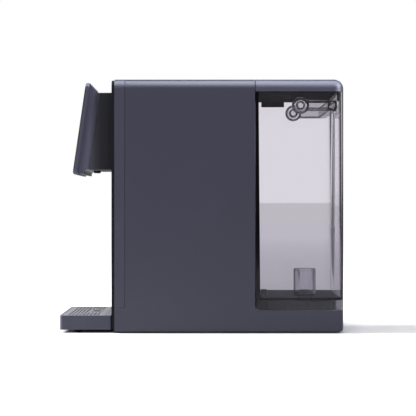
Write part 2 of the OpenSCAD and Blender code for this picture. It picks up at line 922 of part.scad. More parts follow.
module filter_manifold() {
    block_d = filter_d - 2 * manifold_margin;
    color(ivory) difference() {
        union() {
            translate([0, filter_y, shelf_z]) linear_extrude(manifold_h)
                rounded_rect(2 * manifold_x, block_d, manifold_r);
            for (side = [-1, 1])
                translate([side * filter_x, filter_y, shelf_z + manifold_h])
                    cylinder(r = socket_bore_r + socket_wall, h = socket_h);
            for (x = [pressure_x, pure_x])
                translate([x, manifold_front + 1, pressure_z]) rotate([90, 0, 0])
                    cylinder(d = tube_d + 3, h = 1 + port_l);
        }
        for (side = [-1, 1])
            translate([side * filter_x, filter_y, filter_z - rest_gap]) cylinder(r = socket_bore_r, h = 100);
    }
}

module tds_probe() {
    color(ink) translate([0, filter_y + 31, shelf_z + manifold_h]) {
        cylinder(r = probe_r + 2, h = 6, $fn = 6);
        cylinder(r = probe_r, h = probe_h);
    }
}

// A twist-in cartridge: neck, shoulder, body with a rounded crown and a grip bar on top
module cartridge(side) {
    body_r = filter_d / 2;
    body_z = filter_neck_h + 4;
    translate([side * filter_x, filter_y, filter_z]) difference() {
        union() {
            rotate_extrude() {
                square([filter_neck_r, body_z + 1]);
                translate([0, body_z]) square([body_r, filter_l - body_z - crown_r]);
                translate([0, body_z]) square([body_r - crown_r, filter_l - body_z]);
                translate([body_r - crown_r, filter_l - crown_r]) circle(crown_r);
            }
            translate([0, 0, filter_l - 1]) linear_extrude(grip_h + 1) slot(filter_grip_l, grip_w);
        }
        translate([0, 0, oring_z]) ring(filter_neck_r + 1, oring_r - oring_t, oring_t);
    }
}

module cartridge_seal(side) {
    color(rubber) translate([side * filter_x, filter_y, filter_z + oring_z + run_gap])
        ring(oring_r, oring_r - oring_t + run_gap, oring_t - 2 * run_gap);
}

module prefilter_cartridge() {
    color("#D9DBDE") cartridge(-1);
}

module membrane_cartridge() {
    color("#C9CED6") cartridge(1);
}

module pump_head() {
    color(ink) difference() {
        union() {
            translate([pump_head_x, pump_y, pump_z]) rotate([90, 0, 90])
                linear_extrude(pump_head_l) rounded_rect(pump_head, pump_head, pump_head_r);
            for (p = [[pump_x, feed_z], [pressure_x, pressure_z]])
                translate([p[0], pump_y + pump_head / 2 - 1, p[1]]) rotate([-90, 0, 0])
                    cylinder(d = tube_d + 3, h = 1 + port_l);
        }
        for (i = [0 : 3])
            translate([pump_head_x + 10 + i * 9, pump_y - pump_head / 2 - 1, pump_z - pump_head])
                cube([2, 3, 2 * pump_head]);
    }
}

module pump_motor() {
    color(steel) translate([pump_head_x - motor_l, pump_y, pump_z]) rotate([0, 90, 0]) {
        cylinder(d = motor_d, h = motor_l);
        translate([0, 0, -4]) cylinder(d = 22, h = 5);
    }
}

module pump_bracket() {
    plate_w = motor_l - bracket_trim;
    plate_d = motor_d + bracket_margin;
    x0 = pump_head_x - motor_l + bracket_trim / 2;
    color(steel) difference() {
        union() {
            translate([x0, pump_y - plate_d / 2, bracket_z]) cube([plate_w, plate_d, bracket_t]);
            for (x = [x0 + saddle_inset, x0 + plate_w - saddle_t - saddle_inset])
                translate([x, pump_y - plate_d / 4, bracket_z])
                    cube([saddle_t, plate_d / 2, pump_z - motor_d / 2 - bracket_z + saddle_rise]);
        }
        translate([x0 - 1, pump_y, pump_z]) rotate([0, 90, 0])
            cylinder(d = motor_d + 2 * run_gap, h = motor_l + bracket_trim);
    }
}

module pump_mounts() {
    x0 = pump_head_x - motor_l + 5 + mount_r;
    x1 = pump_head_x - 5 - mount_r;
    dy = motor_d / 2 + 2 - mount_r;
    color(rubber) for (x = [x0, x1], y = [-dy, dy])
        translate([x, pump_y + y, floor_z]) cylinder(r = mount_r, h = mount_h);
}

// A solenoid valve hung from the filter shelf, with a port at each end
module solenoid_valve(x, port_z) {
    translate([x, filter_y, port_z]) {
        translate([-valve_w / 2, -valve_l / 2, -valve_t / 2]) cube([valve_w, valve_l, valve_t]);
        translate([0, 0, valve_t / 2 - 1]) linear_extrude(shelf_z - frame_t - port_z - valve_t / 2 + 1)
            rounded_rect(coil_w, coil_l, 3);
        rotate([90, 0, 0]) cylinder(d = valve_port_d, h = valve_l + 2 * valve_port_l, center = true);
    }
}

module inlet_valve() {
    color("#3A4A60") solenoid_valve(outlet_x, feed_z);
}

module drain_valve() {
    color("#3A4A60") solenoid_valve(-filter_x, return_tube_z);
}

// Small cistern that keeps purified water ready for the heater
module pure_water_cistern() {
    color("#E8ECEF") translate([cistern_x0 + cistern_w / 2, cistern_front + cistern_d / 2, upper_z])
        difference() {
            linear_extrude(cistern_h) rounded_rect(cistern_w, cistern_d, cistern_r);
            translate([0, 0, cistern_wall]) linear_extrude(cistern_h)
                rounded_rect(cistern_w - 2 * cistern_wall, cistern_d - 2 * cistern_wall, cistern_r - cistern_wall);
        }
}

module cistern_lid() {
    plug = cistern_wall + fit;
    color("#E8ECEF") translate([cistern_x0 + cistern_w / 2, cistern_front + cistern_d / 2, upper_z + cistern_h]) {
        linear_extrude(cistern_lid_t) rounded_rect(cistern_w, cistern_d, cistern_r);
        translate([0, 0, -cistern_plug]) linear_extrude(cistern_plug + cistern_lid_t / 2)
            rounded_rect(cistern_w - 2 * plug, cistern_d - 2 * plug, cistern_r - plug);
    }
}

module delivery_pump() {
    color(ink) translate([delivery_x, heater_y, upper_z - frame_t - delivery_h]) {
        cylinder(r = delivery_r, h = delivery_h);
        translate([0, 0, -3]) cylinder(r = delivery_r - 5, h = 4);
        translate([0, 0, delivery_h - delivery_port_drop]) rotate([0, 90, 0])
            cylinder(d = tube_d + 2, h = delivery_r + port_l);
    }
}

// Flow-through heater standing over its inlet, with a cap at either end
module heater() {
    color(steel) translate([heater_x, heater_y, upper_z + heater_foot]) {
        cylinder(r = heater_r, h = heater_h);
        cylinder(r = heater_cap_r, h = heater_cap_h);
        translate([0, 0, heater_h - heater_cap_h]) cylinder(r = heater_cap_r, h = heater_cap_h);
        translate([0, 0, -heater_foot + frame_t / 2]) cylinder(d = tube_d + 3, h = heater_foot);
        translate([0, 0, spout_z - upper_z - heater_foot]) rotate([90, 0, 0])
            cylinder(d = tube_d + 3, h = heater_cap_r + port_l);
    }
}

module heater_clips() {
    band_r = heater_r + clip_pad;
    color(ivory) for (share = [0.23, 0.65])
        translate([heater_x, heater_y, upper_z + heater_foot + share * heater_h]) difference() {
            union() {
                cylinder(r = band_r, h = clip_band);
                translate([-clip_arm_w / 2, 0, 0]) cube([clip_arm_w, heater_back, clip_band]);
            }
            translate([0, 0, -1]) cylinder(r = heater_r + run_gap, h = clip_band + 2);
            translate([-band_r - 1, -band_r - 1, -1]) cube([2 * band_r + 2, band_r / 2, clip_band + 2]);
        }
}

module power_supply() {
    color(steel) translate([supply_x0, bulkhead_front - supply_d, supply_z]) difference() {
        cube([supply_w, supply_d, supply_h]);
        for (i = [0 : 7]) translate([10 + i * 8.5, -1, 12]) cube([4, 3, supply_h - 24]);
    }
}

module control_board() {
    color(board_green) translate([logic_x0, bulkhead_front - standoff_l - board_t, supply_z]) {
        cube([logic_w, board_t, logic_h]);
        for (i = [0 : 2]) translate([(0.11 + 0.29 * i) * logic_w, -relay_t, relay_z])
            cube([0.2 * logic_w, relay_t + solder, relay_h]);
        for (i = [0 : 3]) translate([(0.08 + 0.23 * i) * logic_w, -plug_t, plug_z])
            cube([0.15 * logic_w, plug_t + solder, plug_h]);
        translate([0.35 * logic_w, -chip_t, chip_z]) cube([0.25 * logic_w, chip_t + solder, relay_h]);
    }
}

module mains_inlet() {
    socket_w = inlet_w - 2 * inlet_rim;
    socket_h = inlet_h - 2 * inlet_rim;
    color(ink) translate([inlet_x, body_rear - seam, inlet_z]) rotate([90, 0, 0]) {
        difference() {
            union() {
                linear_extrude(inlet_depth) rounded_rect(inlet_w, inlet_h, 2);
                translate([0, 0, wall - seam + fit]) linear_extrude(2)
                    rounded_rect(inlet_w + 2 * inlet_flange, inlet_h + 2 * inlet_flange, 2);
            }
            translate([0, 0, -1]) linear_extrude(16) rounded_rect(socket_w, socket_h, 1.5);
        }
        for (x = [-1, 0, 1]) translate([x * 7 - 1, x == 0 ? 0.5 : -5, 2]) cube([2, 4, 14]);
    }
}

// Socket in the deck that takes the tank's outlet, with the pin that lifts its valve
module dock_socket() {
    color(ink) translate([outlet_x, outlet_y, 0]) {
        difference() {
            union() {
                translate([0, 0, dock_floor_z - dock_floor_t])
                    cylinder(r = dock_r, h = dock_top - dock_floor_z + dock_floor_t);
                translate([0, 0, deck_h]) cylinder(r = dock_flange_r, h = dock_flange_t);
                translate([0, 0, feed_z]) rotate([90, 0, 0]) cylinder(d = tube_d + 1, h = dock_r + dock_port_l);
            }
            translate([0, 0, dock_floor_z]) cylinder(r = dock_bore_r, h = dock_top);
            translate([0, 0, seal_z - run_gap]) cylinder(r = dock_bore_r + seal_depth, h = seal_t + 2 * run_gap);
        }
        translate([0, 0, dock_floor_z - 1]) cylinder(r = dock_pin_r, h = collar_z - rest_gap - dock_floor_z + 1);
    }
}

module dock_seal() {
    color(rubber) translate([outlet_x, outlet_y, seal_z])
        ring(dock_bore_r + seal_depth - run_gap, barrel_r + run_gap, seal_t);
}

module return_socket() {
    bore_r = return_socket_r - return_socket_wall;
    color(ink) translate([return_x, return_y, 0]) difference() {
        union() {
            translate([0, 0, return_bottom]) cylinder(r = return_socket_r, h = return_top - return_bottom);
            translate([0, 0, deck_h]) cylinder(r = return_flange_r, h = 1.5);
            translate([0, 0, return_tube_z]) rotate([0, -90, 0])
                cylinder(d = return_tube_d + 0.6, h = return_socket_r + 2);
        }
        translate([0, 0, return_bottom + 2]) cylinder(r = bore_r, h = return_top);
    }
}

// From the tank's dock to the inlet valve
module feed_tube() {
    y0 = outlet_y - dock_r - dock_port_l;
    y1 = filter_y + valve_l / 2 + valve_port_l;
    color(silicone) tube_run([[outlet_x, y0, feed_z], [outlet_x, y1, feed_z]], tube_d, tube_d);
}

// From the inlet valve to the booster pump
module pump_inlet_tube() {
    y0 = filter_y - valve_l / 2 - valve_port_l;
    y1 = pump_y + pump_head / 2 + port_l;
    color(silicone) tube_run([[outlet_x, y0, feed_z], [outlet_x, y1, feed_z]], tube_d, tube_d);
}

// From the booster pump to the filter manifold
module pressure_tube() {
    y0 = pump_y + pump_head / 2 + port_l;
    y1 = manifold_front - port_l;
    color(silicone) tube_run([[pressure_x, y0, pressure_z], [pressure_x, y1, pressure_z]], tube_d, tube_d);
}

// From the filter manifold up to the cistern
module pure_tube() {
    color(silicone) tube_run([
        [pure_x, manifold_front - port_l, pressure_z],
        [pure_x, pure_y, pressure_z],
        [pure_x, pure_y, upper_z]
    ], tube_d, 12);
}

// From the delivery pump to the foot of the heater
module hot_tube() {
    color(silicone) tube_run([
        [delivery_x + delivery_r + port_l, heater_y, delivery_port_z],
        [heater_x, heater_y, delivery_port_z],
        [heater_x, heater_y, upper_z + frame_t / 2]
    ], tube_d, 12);
}

// From the heater through the neck to the spout
module spout_tube() {
    color(silicone) tube_run([
        [heater_x, heater_y - heater_cap_r - port_l, spout_z],
        [heater_x, nozzle_y, spout_z],
        [0, nozzle_y, spout_z],
        [0, nozzle_y, neck_bottom + head_wall + nozzle_stem_h]
    ], tube_d, 12);
}

// From the filter manifold down to the drain valve
module concentrate_tube() {
    y0 = filter_y - valve_l / 2 - valve_port_l;
    color(silicone) tube_run([
        [-filter_x, y0, return_tube_z],
        [-filter_x, concentrate_y, return_tube_z],
        [-filter_x, concentrate_y, shelf_z]
    ], return_tube_d, 6);
}

// From the drain valve back to the tank
module return_tube() {
    y0 = filter_y + valve_l / 2 + valve_port_l;
    color(silicone) tube_run([
        [-filter_x, y0, return_tube_z],
        [-filter_x, return_y, return_tube_z],
        [return_x - return_socket_r - 2, return_y, return_tube_z]
    ], return_tube_d, 10);
}

// Side view of the tank, with the rounded corner that follows the bay
module tank_outline() {
    r = bay_r - bay_gap / 2;
    translate([tank_front, tank_z + r]) square([body_rear - tank_front, tank_top - tank_z - r]);
    translate([tank_front + r, tank_z]) square([body_rear - tank_front - r, tank_top - tank_z]);
    translate([tank_front + r, tank_z + r]) circle(r);
}

// Side view of the tank's inside, narrower towards the floor
module tank_room_outline() {
    polygon([
        [tank_front + front_wall + front_draft, water_z],
        [body_rear - tank_wall - rear_draft, water_z],
        [body_rear - tank_wall, tank_top + 1],
        [tank_front + front_wall, tank_top + 1]
    ]);
}

// Plinth with a narrower nose, rounded shoulders and guide ribs down its sides, open round the sockets
module tank_plinth() {
    shoulder = plinth_front + plinth_nose;
    color(ink) translate([0, 0, deck_h]) linear_extrude(plinth_top - deck_h) difference() {
        union() {
            rear_rounded(2 * plinth_x, shoulder + plinth_nose_r, plinth_rear, plinth_r);
            front_rounded(2 * plinth_x, shoulder, plinth_rear - plinth_r, plinth_nose_r);
            translate([-plinth_x + plinth_nose_side, plinth_front])
                square([2 * (plinth_x - plinth_nose_side), plinth_nose + plinth_nose_r]);
            for (side = [-1, 1], i = [0 : rib_count - 1])
                translate([side * plinth_x, shoulder + rib_first + i * rib_pitch])
                    square([2 * rib_d, rib_t], center = true);
        }
        translate([outlet_x, outlet_y]) circle(dock_flange_r + plinth_hole_gap);
        translate([return_x, return_y]) circle(return_flange_r + plinth_hole_gap);
    }
}

module tank_shell() {
    room_w = body_w - 2 * tank_wall;
    color(smoke) difference() {
        intersection() {
            across(body_w) tank_outline();
            linear_extrude(body_h) rear_rounded(body_w, tank_front, body_rear, corner_r);
        }
        intersection() {
            across(room_w) tank_room_outline();
            linear_extrude(body_h)
                rear_rounded(room_w, tank_front, body_rear - tank_wall, corner_r - tank_wall);
        }
        linear_extrude(tank_floor_z)
            rear_rounded(room_w, tank_front + tank_wall, body_rear - tank_wall, corner_r - tank_wall);
        translate([outlet_x, outlet_y, 0]) cylinder(r = valve_neck_r + fit, h = water_z + 1);
        translate([return_x, return_y, 0]) cylinder(r = return_stem_r + fit, h = water_z + 1);
    }
}

// Stepped pins welded to the tank's side walls, which carry the handle
module handle_pins() {
    color(smoke) for (side = [-1, 1])
        translate([side * (half_w - tank_wall - pin_seat), pivot_y, pivot_z]) rotate([0, -90 * side, 0]) {
            cylinder(r = boss_r, h = boss_t - pin_seat);
            cylinder(d = pivot_d, h = boss_t - pin_seat + rest_gap + hub_t);
        }
}

module standpipe() {
    color(smoke) translate([outlet_x, outlet_y, water_z]) ring(pipe_d / 2, pipe_d / 2 - pipe_wall, pipe_h);
}

module outlet_valve_body() {
    color(ink) translate([outlet_x, outlet_y, 0]) difference() {
        union() {
            difference() {
                union() {
                    translate([0, 0, valve_foot_z]) cylinder(r = barrel_r, h = water_z - valve_foot_z);
                    translate([0, 0, tank_floor_z]) cylinder(r = valve_neck_r, h = tank_floor_t);
                    translate([0, 0, water_z]) cylinder(r = valve_flange_r, h = valve_flange_t);
                }
                translate([0, 0, valve_foot_z - 1]) cylinder(r = valve_bore_r, h = 100);
            }
            translate([0, 0, guide_z]) cylinder(r = stem_guide_r, h = stem_guide_t);
            for (a = [0, 120, 240]) rotate(a)
                translate([0, -spoke_w / 2, guide_z]) cube([valve_bore_r + 1, spoke_w, stem_guide_t]);
        }
        translate([0, 0, valve_foot_z - 1]) cylinder(r = stem_r + run_gap, h = 100);
    }
}

module valve_poppet() {
    color(silicone) translate([outlet_x, outlet_y, 0]) {
        translate([0, 0, collar_z]) cylinder(r = stem_r, h = poppet_z - collar_z + 1);
        translate([0, 0, collar_z]) cylinder(r = collar_r, h = collar_t);
        translate([0, 0, poppet_z]) cylinder(r = poppet_r, h = poppet_t);
    }
}

// Points of a ring of the spring's wire at a turn of its helix
function wire_ring(turn, low, high, sides) = [
    for (k = [0 : sides - 1])
        let (
            around = 360 * k / sides,
            r = spring_r + spring_wire / 2 * cos(around),
            z = low + (high - low) * turn / spring_turns + spring_wire / 2 * sin(around)
        )
        [r * cos(360 * turn), r * sin(360 * turn), z]
];

module valve_spring() {
    sides = 6;
    per_turn = 16;
    rings = spring_turns * per_turn;
    low = collar_z + collar_t + spring_wire / 2 + run_gap;
    high = guide_z - spring_wire / 2 - run_gap;
    points = [for (i = [0 : rings]) each wire_ring(i / per_turn, low, high, sides)];
    skin = [
        for (i = [0 : rings - 1], k = [0 : sides - 1])
            let (a = i * sides + k, b = i * sides + (k + 1) % sides)
            each [[a, a + sides, b], [b, a + sides, b + sides]]
    ];
    near = [for (k = [1 : sides - 2]) [0, k, k + 1]];
    far = [for (k = [1 : sides - 2]) [rings * sides, rings * sides + k + 1, rings * sides + k]];
    color(steel) translate([outlet_x, outlet_y, 0]) polyhedron(points, concat(skin, near, far));
}

// Check valve where the concentrate comes back into the tank
module return_valve() {
    color(ink) translate([return_x, return_y, 0]) {
        translate([0, 0, valve_foot_z]) cylinder(r = return_stem_r, h = water_z - valve_foot_z + 1);
        translate([0, 0, water_z]) rotate_extrude() {
            square([return_r, return_h - return_round]);
            square([return_r - return_round, return_h]);
            translate([return_r - return_round, return_h - return_round]) circle(return_round);
        }
    }
}

// Half section of the lid's rounded edge, from an inner line out to the edge
module lid_edge(w) {
    square([w, lid_h - edge_r]);
    square([w - edge_r, lid_h]);
    translate([w - edge_r, lid_h - edge_r]) circle(edge_r);
}

module lid_edge_half(w) {
    intersection() {
        lid_edge(w);
        square([w, lid_h]);
    }
}

// Lid with one soft radius along its sides, its rear and round its rear corners
module lid_cap() {
    core_x = half_w - corner_r;
    core_y = body_rear - corner_r;
    color(slate) translate([0, 0, lid_z]) difference() {
        union() {
            translate([-core_x, lid_front, 0]) cube([2 * core_x, core_y - lid_front, lid_h]);
            for (side = [0, 1]) mirror([side, 0, 0]) {
                translate([core_x, core_y, 0]) rotate([90, 0, 0])
                    linear_extrude(core_y - lid_front) lid_edge_half(corner_r);
                translate([core_x, core_y, 0]) rotate_extrude(angle = 90) lid_edge_half(corner_r);
            }
            translate([-core_x, core_y, 0]) rotate([90, 0, 90]) linear_extrude(2 * core_x) lid_edge_half(corner_r);
        }
        translate([-half_w + lid_rim, lid_front + lid_front_rim, -1])
            cube([body_w - 2 * lid_rim, body_rear - lid_rim - lid_front - lid_front_rim, lid_h - lid_roof + 1]);
    }
}

// Dark inner plate of the lid with its two side tongues
module lid_liner() {
    liner_z = lid_z - liner_drop;
    color(ink) {
        translate([0, 0, liner_z]) linear_extrude(liner_drop)
            rear_rounded(2 * liner_x, liner_front, liner_rear, 6);
        for (side = [-1, 1])
            translate([side * (liner_x - tongue_wall / 2 - 1), tongue_front, liner_z - tongue_h / 2])
                translate([-tongue_wall / 2, 0, -tongue_h / 2]) cube([tongue_wall, tongue_l, tongue_h + 1]);
    }
}

module lid_clips() {
    color(ink) for (side = [-1, 1])
        translate([side * clip_x, 0, 0]) across(clip_w) {
            translate([clip_y, lid_z - clip_h]) square([clip_t, clip_h]);
            translate([clip_y + clip_t - 0.5, lid_z - clip_h]) square([clip_nose + 0.5, 3]);
        }
}

// Side view of the handle's arm, from the hub's middle to the middle of the grip
module arm_outline(margin) {
    l = handle_l - grip_d / 2;
    translate([pivot_y + l / 2, pivot_z]) square([l, arm_h - 2 * margin], center = true);
}

// Trough section of the grip, open to the top when the handle lies folded
module grip_outline() {
    difference() {
        rounded_rect(grip_d, arm_h, grip_r);
        translate([0, grip_wall + arm_h / 2])
            rounded_rect(grip_d - 2 * grip_wall, 2 * arm_h - 2 * grip_wall, grip_r - grip_wall);
    }
}

// Swing handle: ringed hubs on the tank's pins, channelled arms and a trough-shaped grip
module carry_handle() {
    hub_inner = hub_outer - hub_t;
    arm_outer = hub_outer - arm_inset;
    grip_y = pivot_y + handle_l - grip_d / 2;
    color(smoke) difference() {
        union() {
            for (side = [0, 1]) mirror([side, 0, 0]) {
                translate([hub_inner, pivot_y, pivot_z]) rotate([0, 90, 0]) cylinder(d = hub_d, h = hub_t);
                translate([arm_outer - arm_t, 0, 0]) rotate([90, 0, 90]) linear_extrude(arm_t) difference() {
                    union() {
                        arm_outline(0);
                        translate([grip_y, pivot_z]) rounded_rect(grip_d, arm_h, grip_r);
                    }
                    translate([(pivot_y + hub_d / 2 + grip_y - grip_d / 2) / 2, pivot_z])
                        slot(arm_slot_l, arm_slot_h);
                }
            }
            across(2 * arm_outer - arm_t) translate([grip_y, pivot_z]) grip_outline();
        }
        for (side = [0, 1]) mirror([side, 0, 0]) {
            translate([arm_outer - channel_d, 0, 0]) rotate([90, 0, 90]) linear_extrude(hub_t) difference() {
                arm_outline(channel_rim);
                translate([pivot_y, pivot_z]) circle(hub_d / 2 + 1);
                translate([grip_y, pivot_z]) circle(grip_d / 2 + 1);
                translate([(pivot_y + hub_d / 2 + grip_y - grip_d / 2) / 2, pivot_z])
                    slot(arm_slot_l + 2 * channel_rim, arm_slot_h + 2 * channel_rim);
            }
            translate([hub_outer - ring_d, pivot_y, pivot_z]) rotate([0, 90, 0])
                ring(hub_d / 2 - ring_inset, hub_d / 2 - ring_inset - ring_w, ring_d + 1);
        }
        translate([-half_w, pivot_y, pivot_z]) rotate([0, 90, 0]) cylinder(d = pivot_d + 2 * run_gap, h = body_w);
    }
}

// A plan outline with rounded front corners
module front_rounded(w, y0, y1, r) {
    translate([0, y0 + y1]) mirror([0, 1]) rear_rounded(w, y0, y1, r);
}

module drip_tray() {
    recess_w = tray_w - 2 * tray_wall;
    recess_front = tray_front + tray_wall;
    recess_rear = tray_rear - rear_rim;
    sink = grille_t + grille_sink + rest_gap;
    color(slate) difference() {
        union() {
            translate([0, 0, tray_lift]) linear_extrude(tray_h)
                front_rounded(tray_w, tray_front, tray_rear, tray_r);
            for (side = [-1, 1])
                translate([side * tongue_x - tongue_w / 2, tray_rear - 1, tongue_z])
                    cube([tongue_w, tongue_reach + 1, tongue_t]);
        }
        translate([0, 0, tray_top - sink]) linear_extrude(sink + 1)
            front_rounded(recess_w, recess_front, recess_rear, tray_r - tray_wall);
        translate([0, 0, tray_lift + tray_wall]) linear_extrude(tray_h)
            front_rounded(recess_w - 2 * tray_ledge, recess_front + tray_ledge, recess_rear - tray_ledge,
                tray_r - tray_wall);
    }
}

module tray_feet() {
    color(rubber) for (side = [-1, 1])
        translate([side * tray_foot_x, tray_foot_y, 0])
            cylinder(d1 = tray_foot_tip, d2 = tray_foot_d, h = tray_lift);
}

// Rows of slots round a drain hole under the spout
module drip_grille() {
    front = tray_front + tray_wall + slide_gap;
    rear = tray_rear - rear_rim - slide_gap;
    rows = floor((rear - front - 2 * slot_pitch) / slot_pitch);
    first = (front + rear) / 2 - (rows - 1) * slot_pitch / 2;
    keep = hole_r + hole_rim + slot_w;
    color(steel) translate([0, 0, tray_top - grille_sink - grille_t]) difference() {
        union() {
            linear_extrude(grille_t)
                front_rounded(tray_w - 2 * tray_wall - 2 * slide_gap, front, rear, tray_r - tray_wall - 0.2);
            translate([0, nozzle_y, 0]) cylinder(r = hole_r + hole_rim, h = grille_t + hole_rim_h);
        }
        translate([0, nozzle_y, -1]) cylinder(r = hole_r, h = grille_t + 3);
        for (row = [0 : rows - 1], column = [0 : slot_columns - 1]) {
            y = first + row * slot_pitch;
            x = (column - (slot_columns - 1) / 2) * slot_pitch_x;
            if (abs(y - nozzle_y) > keep || abs(x) - slot_l / 2 > keep)
                translate([x, y, -1]) linear_extrude(grille_t + 2) slot(slot_l, slot_w);
        }
    }
}

body_housing();
front_cover();
front_plate();
base_plate();
rubber_feet();
base_screws();
head_housing();
head_panel();
touch_glass();
display_board();
spout_nozzle();
top_hatch();
inner_frame();
filter_manifold();
tds_probe();
prefilter_cartridge();
cartridge_seal(-1);  // prefilter_seal
membrane_cartridge();
cartridge_seal(1);  // membrane_seal
pump_head();
pump_motor();
pump_bracket();
pump_mounts();
inlet_valve();
drain_valve();
pure_water_cistern();
cistern_lid();
delivery_pump();
heater();
heater_clips();
power_supply();
control_board();
mains_inlet();
tank_plinth();
dock_socket();
dock_seal();
return_socket();
feed_tube();
pump_inlet_tube();
pressure_tube();
pure_tube();
hot_tube();
spout_tube();
concentrate_tube();
return_tube();
tank_shell();
handle_pins();
standpipe();
outlet_valve_body();
return_valve();
valve_poppet();
valve_spring();
lid_cap();
lid_liner();
lid_clips();
carry_handle();
drip_tray();
tray_feet();
drip_grille();
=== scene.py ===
"""Countertop water purifier: finishes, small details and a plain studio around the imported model."""

import math

import bmesh
import bpy
import numpy as np
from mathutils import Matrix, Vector


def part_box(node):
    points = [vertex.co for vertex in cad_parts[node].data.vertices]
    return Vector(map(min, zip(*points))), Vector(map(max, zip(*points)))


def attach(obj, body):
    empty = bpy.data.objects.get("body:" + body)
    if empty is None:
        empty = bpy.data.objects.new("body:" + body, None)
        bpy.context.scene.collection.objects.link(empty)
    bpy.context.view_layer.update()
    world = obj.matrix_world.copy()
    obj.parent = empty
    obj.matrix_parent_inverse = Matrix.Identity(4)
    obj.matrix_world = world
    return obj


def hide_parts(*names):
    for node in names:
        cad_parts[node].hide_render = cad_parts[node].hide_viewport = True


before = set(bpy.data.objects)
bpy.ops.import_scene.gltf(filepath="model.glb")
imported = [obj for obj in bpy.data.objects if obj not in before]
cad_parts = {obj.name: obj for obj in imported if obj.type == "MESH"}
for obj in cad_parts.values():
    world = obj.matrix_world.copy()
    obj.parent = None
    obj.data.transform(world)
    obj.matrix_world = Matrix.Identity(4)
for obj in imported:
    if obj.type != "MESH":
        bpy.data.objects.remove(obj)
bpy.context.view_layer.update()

bl_info = {
    "name": "Countertop Water Purifier",
    "version": (1, 0, 0),
    "blender": (4, 5, 0),
    "location": "3D View > Sidebar > Purifier",
    "description": "Finishes and details of a countertop reverse osmosis purifier",
    "category": "Object",
}

MM = 0.001
# Where a clear piece is moulded in black: lowest height, highest height and half width
FLOOR_BOX = (53.2 * MM, 53.45 * MM, 96 * MM)
PIPE_FOOT = (45 * MM, 57.5 * MM, 96 * MM)
# Painted light on the neck: depth at which it is painted palest, beside the lit flare, depth at which it has
# its own black, and how much paler it gets
NECK_PAINTED_LIGHT = (-165.5 * MM, -153.5 * MM, 2.6)
# A moulding's tone drifts over this length, and its roughness varies this far either way
DRIFT_MM = 70
SHEEN_SPREAD = 0.07
# An edge of a new piece stays sharp where it turns further than this
SHARP_EDGE = math.radians(38)


def linear(code):
    """Turns an sRGB hex colour into linear red, green and blue."""
    part = np.array([int(code[i:i + 2], 16) for i in (1, 3, 5)]) / 255
    tone = np.where(part <= 0.04045, part / 12.92, ((part + 0.055) / 1.055) ** 2.4)
    return tuple(float(c) for c in tone)


def colour(name, description, code):
    """A colour of the finish that a user can change, written as sRGB hex."""
    return bpy.props.FloatVectorProperty(
        name=name, description=description, subtype="COLOR", size=3, min=0, max=1, default=linear(code))


def length(name, description, mm):
    """A length that a user can change, written in millimetres."""
    return bpy.props.FloatProperty(
        name=name, description=description, unit="LENGTH", min=0, default=mm * MM)


def share(name, description, value):
    """A plain factor from 0 to 1 that a user can change."""
    return bpy.props.FloatProperty(
        name=name, description=description, subtype="FACTOR", min=0, max=1, default=value)


def power(name, description, watts):
    """A lamp's power that a user can change, written in watts."""
    return bpy.props.FloatProperty(name=name, description=description, unit="POWER", default=watts)


class PurifierFinishes(bpy.types.PropertyGroup):
    """Colours and surface values of the visible materials."""

    slate: colour("Slate", "Moulded housing, lid and tray", "#424253")
    ink: colour("Ink", "Satin black mouldings", "#1D1D21")
    glass: colour("Touch glass", "Black print behind the touch glass", "#09090B")
    marks: colour("Touch marks", "Pale print on the touch glass", "#B9BCC4")
    grille: colour("Grille", "Grey drip grille", "#7C7A84")
    rubber: colour("Rubber", "Feet and seals", "#161618")
    smoke_density: bpy.props.FloatProperty(
        name="Smoke density", description="Absorption of the clear tank for each metre", min=0, default=33)
    smoke: colour("Smoke", "What the clear tank lets through", "#653F8C")
    panel_lean: bpy.props.FloatProperty(
        name="Panel lean", description="How far the touch glass leans back", unit="ROTATION",
        default=math.radians(8.3))
    slate_roughness: share("Slate roughness", "Roughness of the moulded housing", 0.38)
    ink_roughness: share("Ink roughness", "Roughness of the black mouldings", 0.38)


class PurifierStage(bpy.types.PropertyGroup):
    """Camera, light and floor."""

    lens: bpy.props.FloatProperty(
        name="Lens", description="Focal length on a 36 mm sensor", unit="CAMERA", default=116.54)
    distance: length("Camera distance", "From the middle plane to the camera", 2117.5)
    aside: length("Camera aside", "How far behind the middle of the footprint the camera aims", 9.6)
    eye: length("Eye level", "Height of the camera above the counter", 190.35)
    shift: bpy.props.FloatProperty(name="Shift", description="Vertical shift of the lens", default=-0.0036)
    floor: colour("Floor", "Paper floor", "#F2F2F4")
    key: power("Key light", "Power of the large light at the front", 70)
    top: power("Top light", "Power of the long light above the camera", 8.5)
    rear: power("Rear light", "Power of the light behind the tank that is flagged to the head", 1.05)
    corner: power("Corner light", "Power of the light behind the tank that is flagged to the lid", 18)
    tray: power("Tray light", "Power of the low light in front that is flagged to the drip tray", 9)
    fill: power("Fill light", "Power of the broad light over the camera", 4.1)
    card: bpy.props.FloatProperty(
        name="Card", description="Strength of the cool card that gloss shows above the camera", default=8.6)
    room: share("Room light", "Even light of the room", 0.15)


def add(tree, kind, sockets=None, **settings):
    """Adds a shader node with its settings. A socket takes a value, or a node or its output as a link."""
    node = tree.nodes.new("ShaderNode" + kind)
    for name, value in settings.items():
        setattr(node, name, value)
    for name, value in (sockets or {}).items():
        if isinstance(value, bpy.types.Node):
            value = value.outputs[0]
        if isinstance(value, bpy.types.NodeSocket):
            tree.links.new(value, node.inputs[name])
        else:
            node.inputs[name].default_value = value
    return node


def blank(name):
    """A new material with an empty node tree."""
    material = bpy.data.materials.new(name)
    material.use_nodes = True
    material.node_tree.nodes.clear()
    return material, material.node_tree


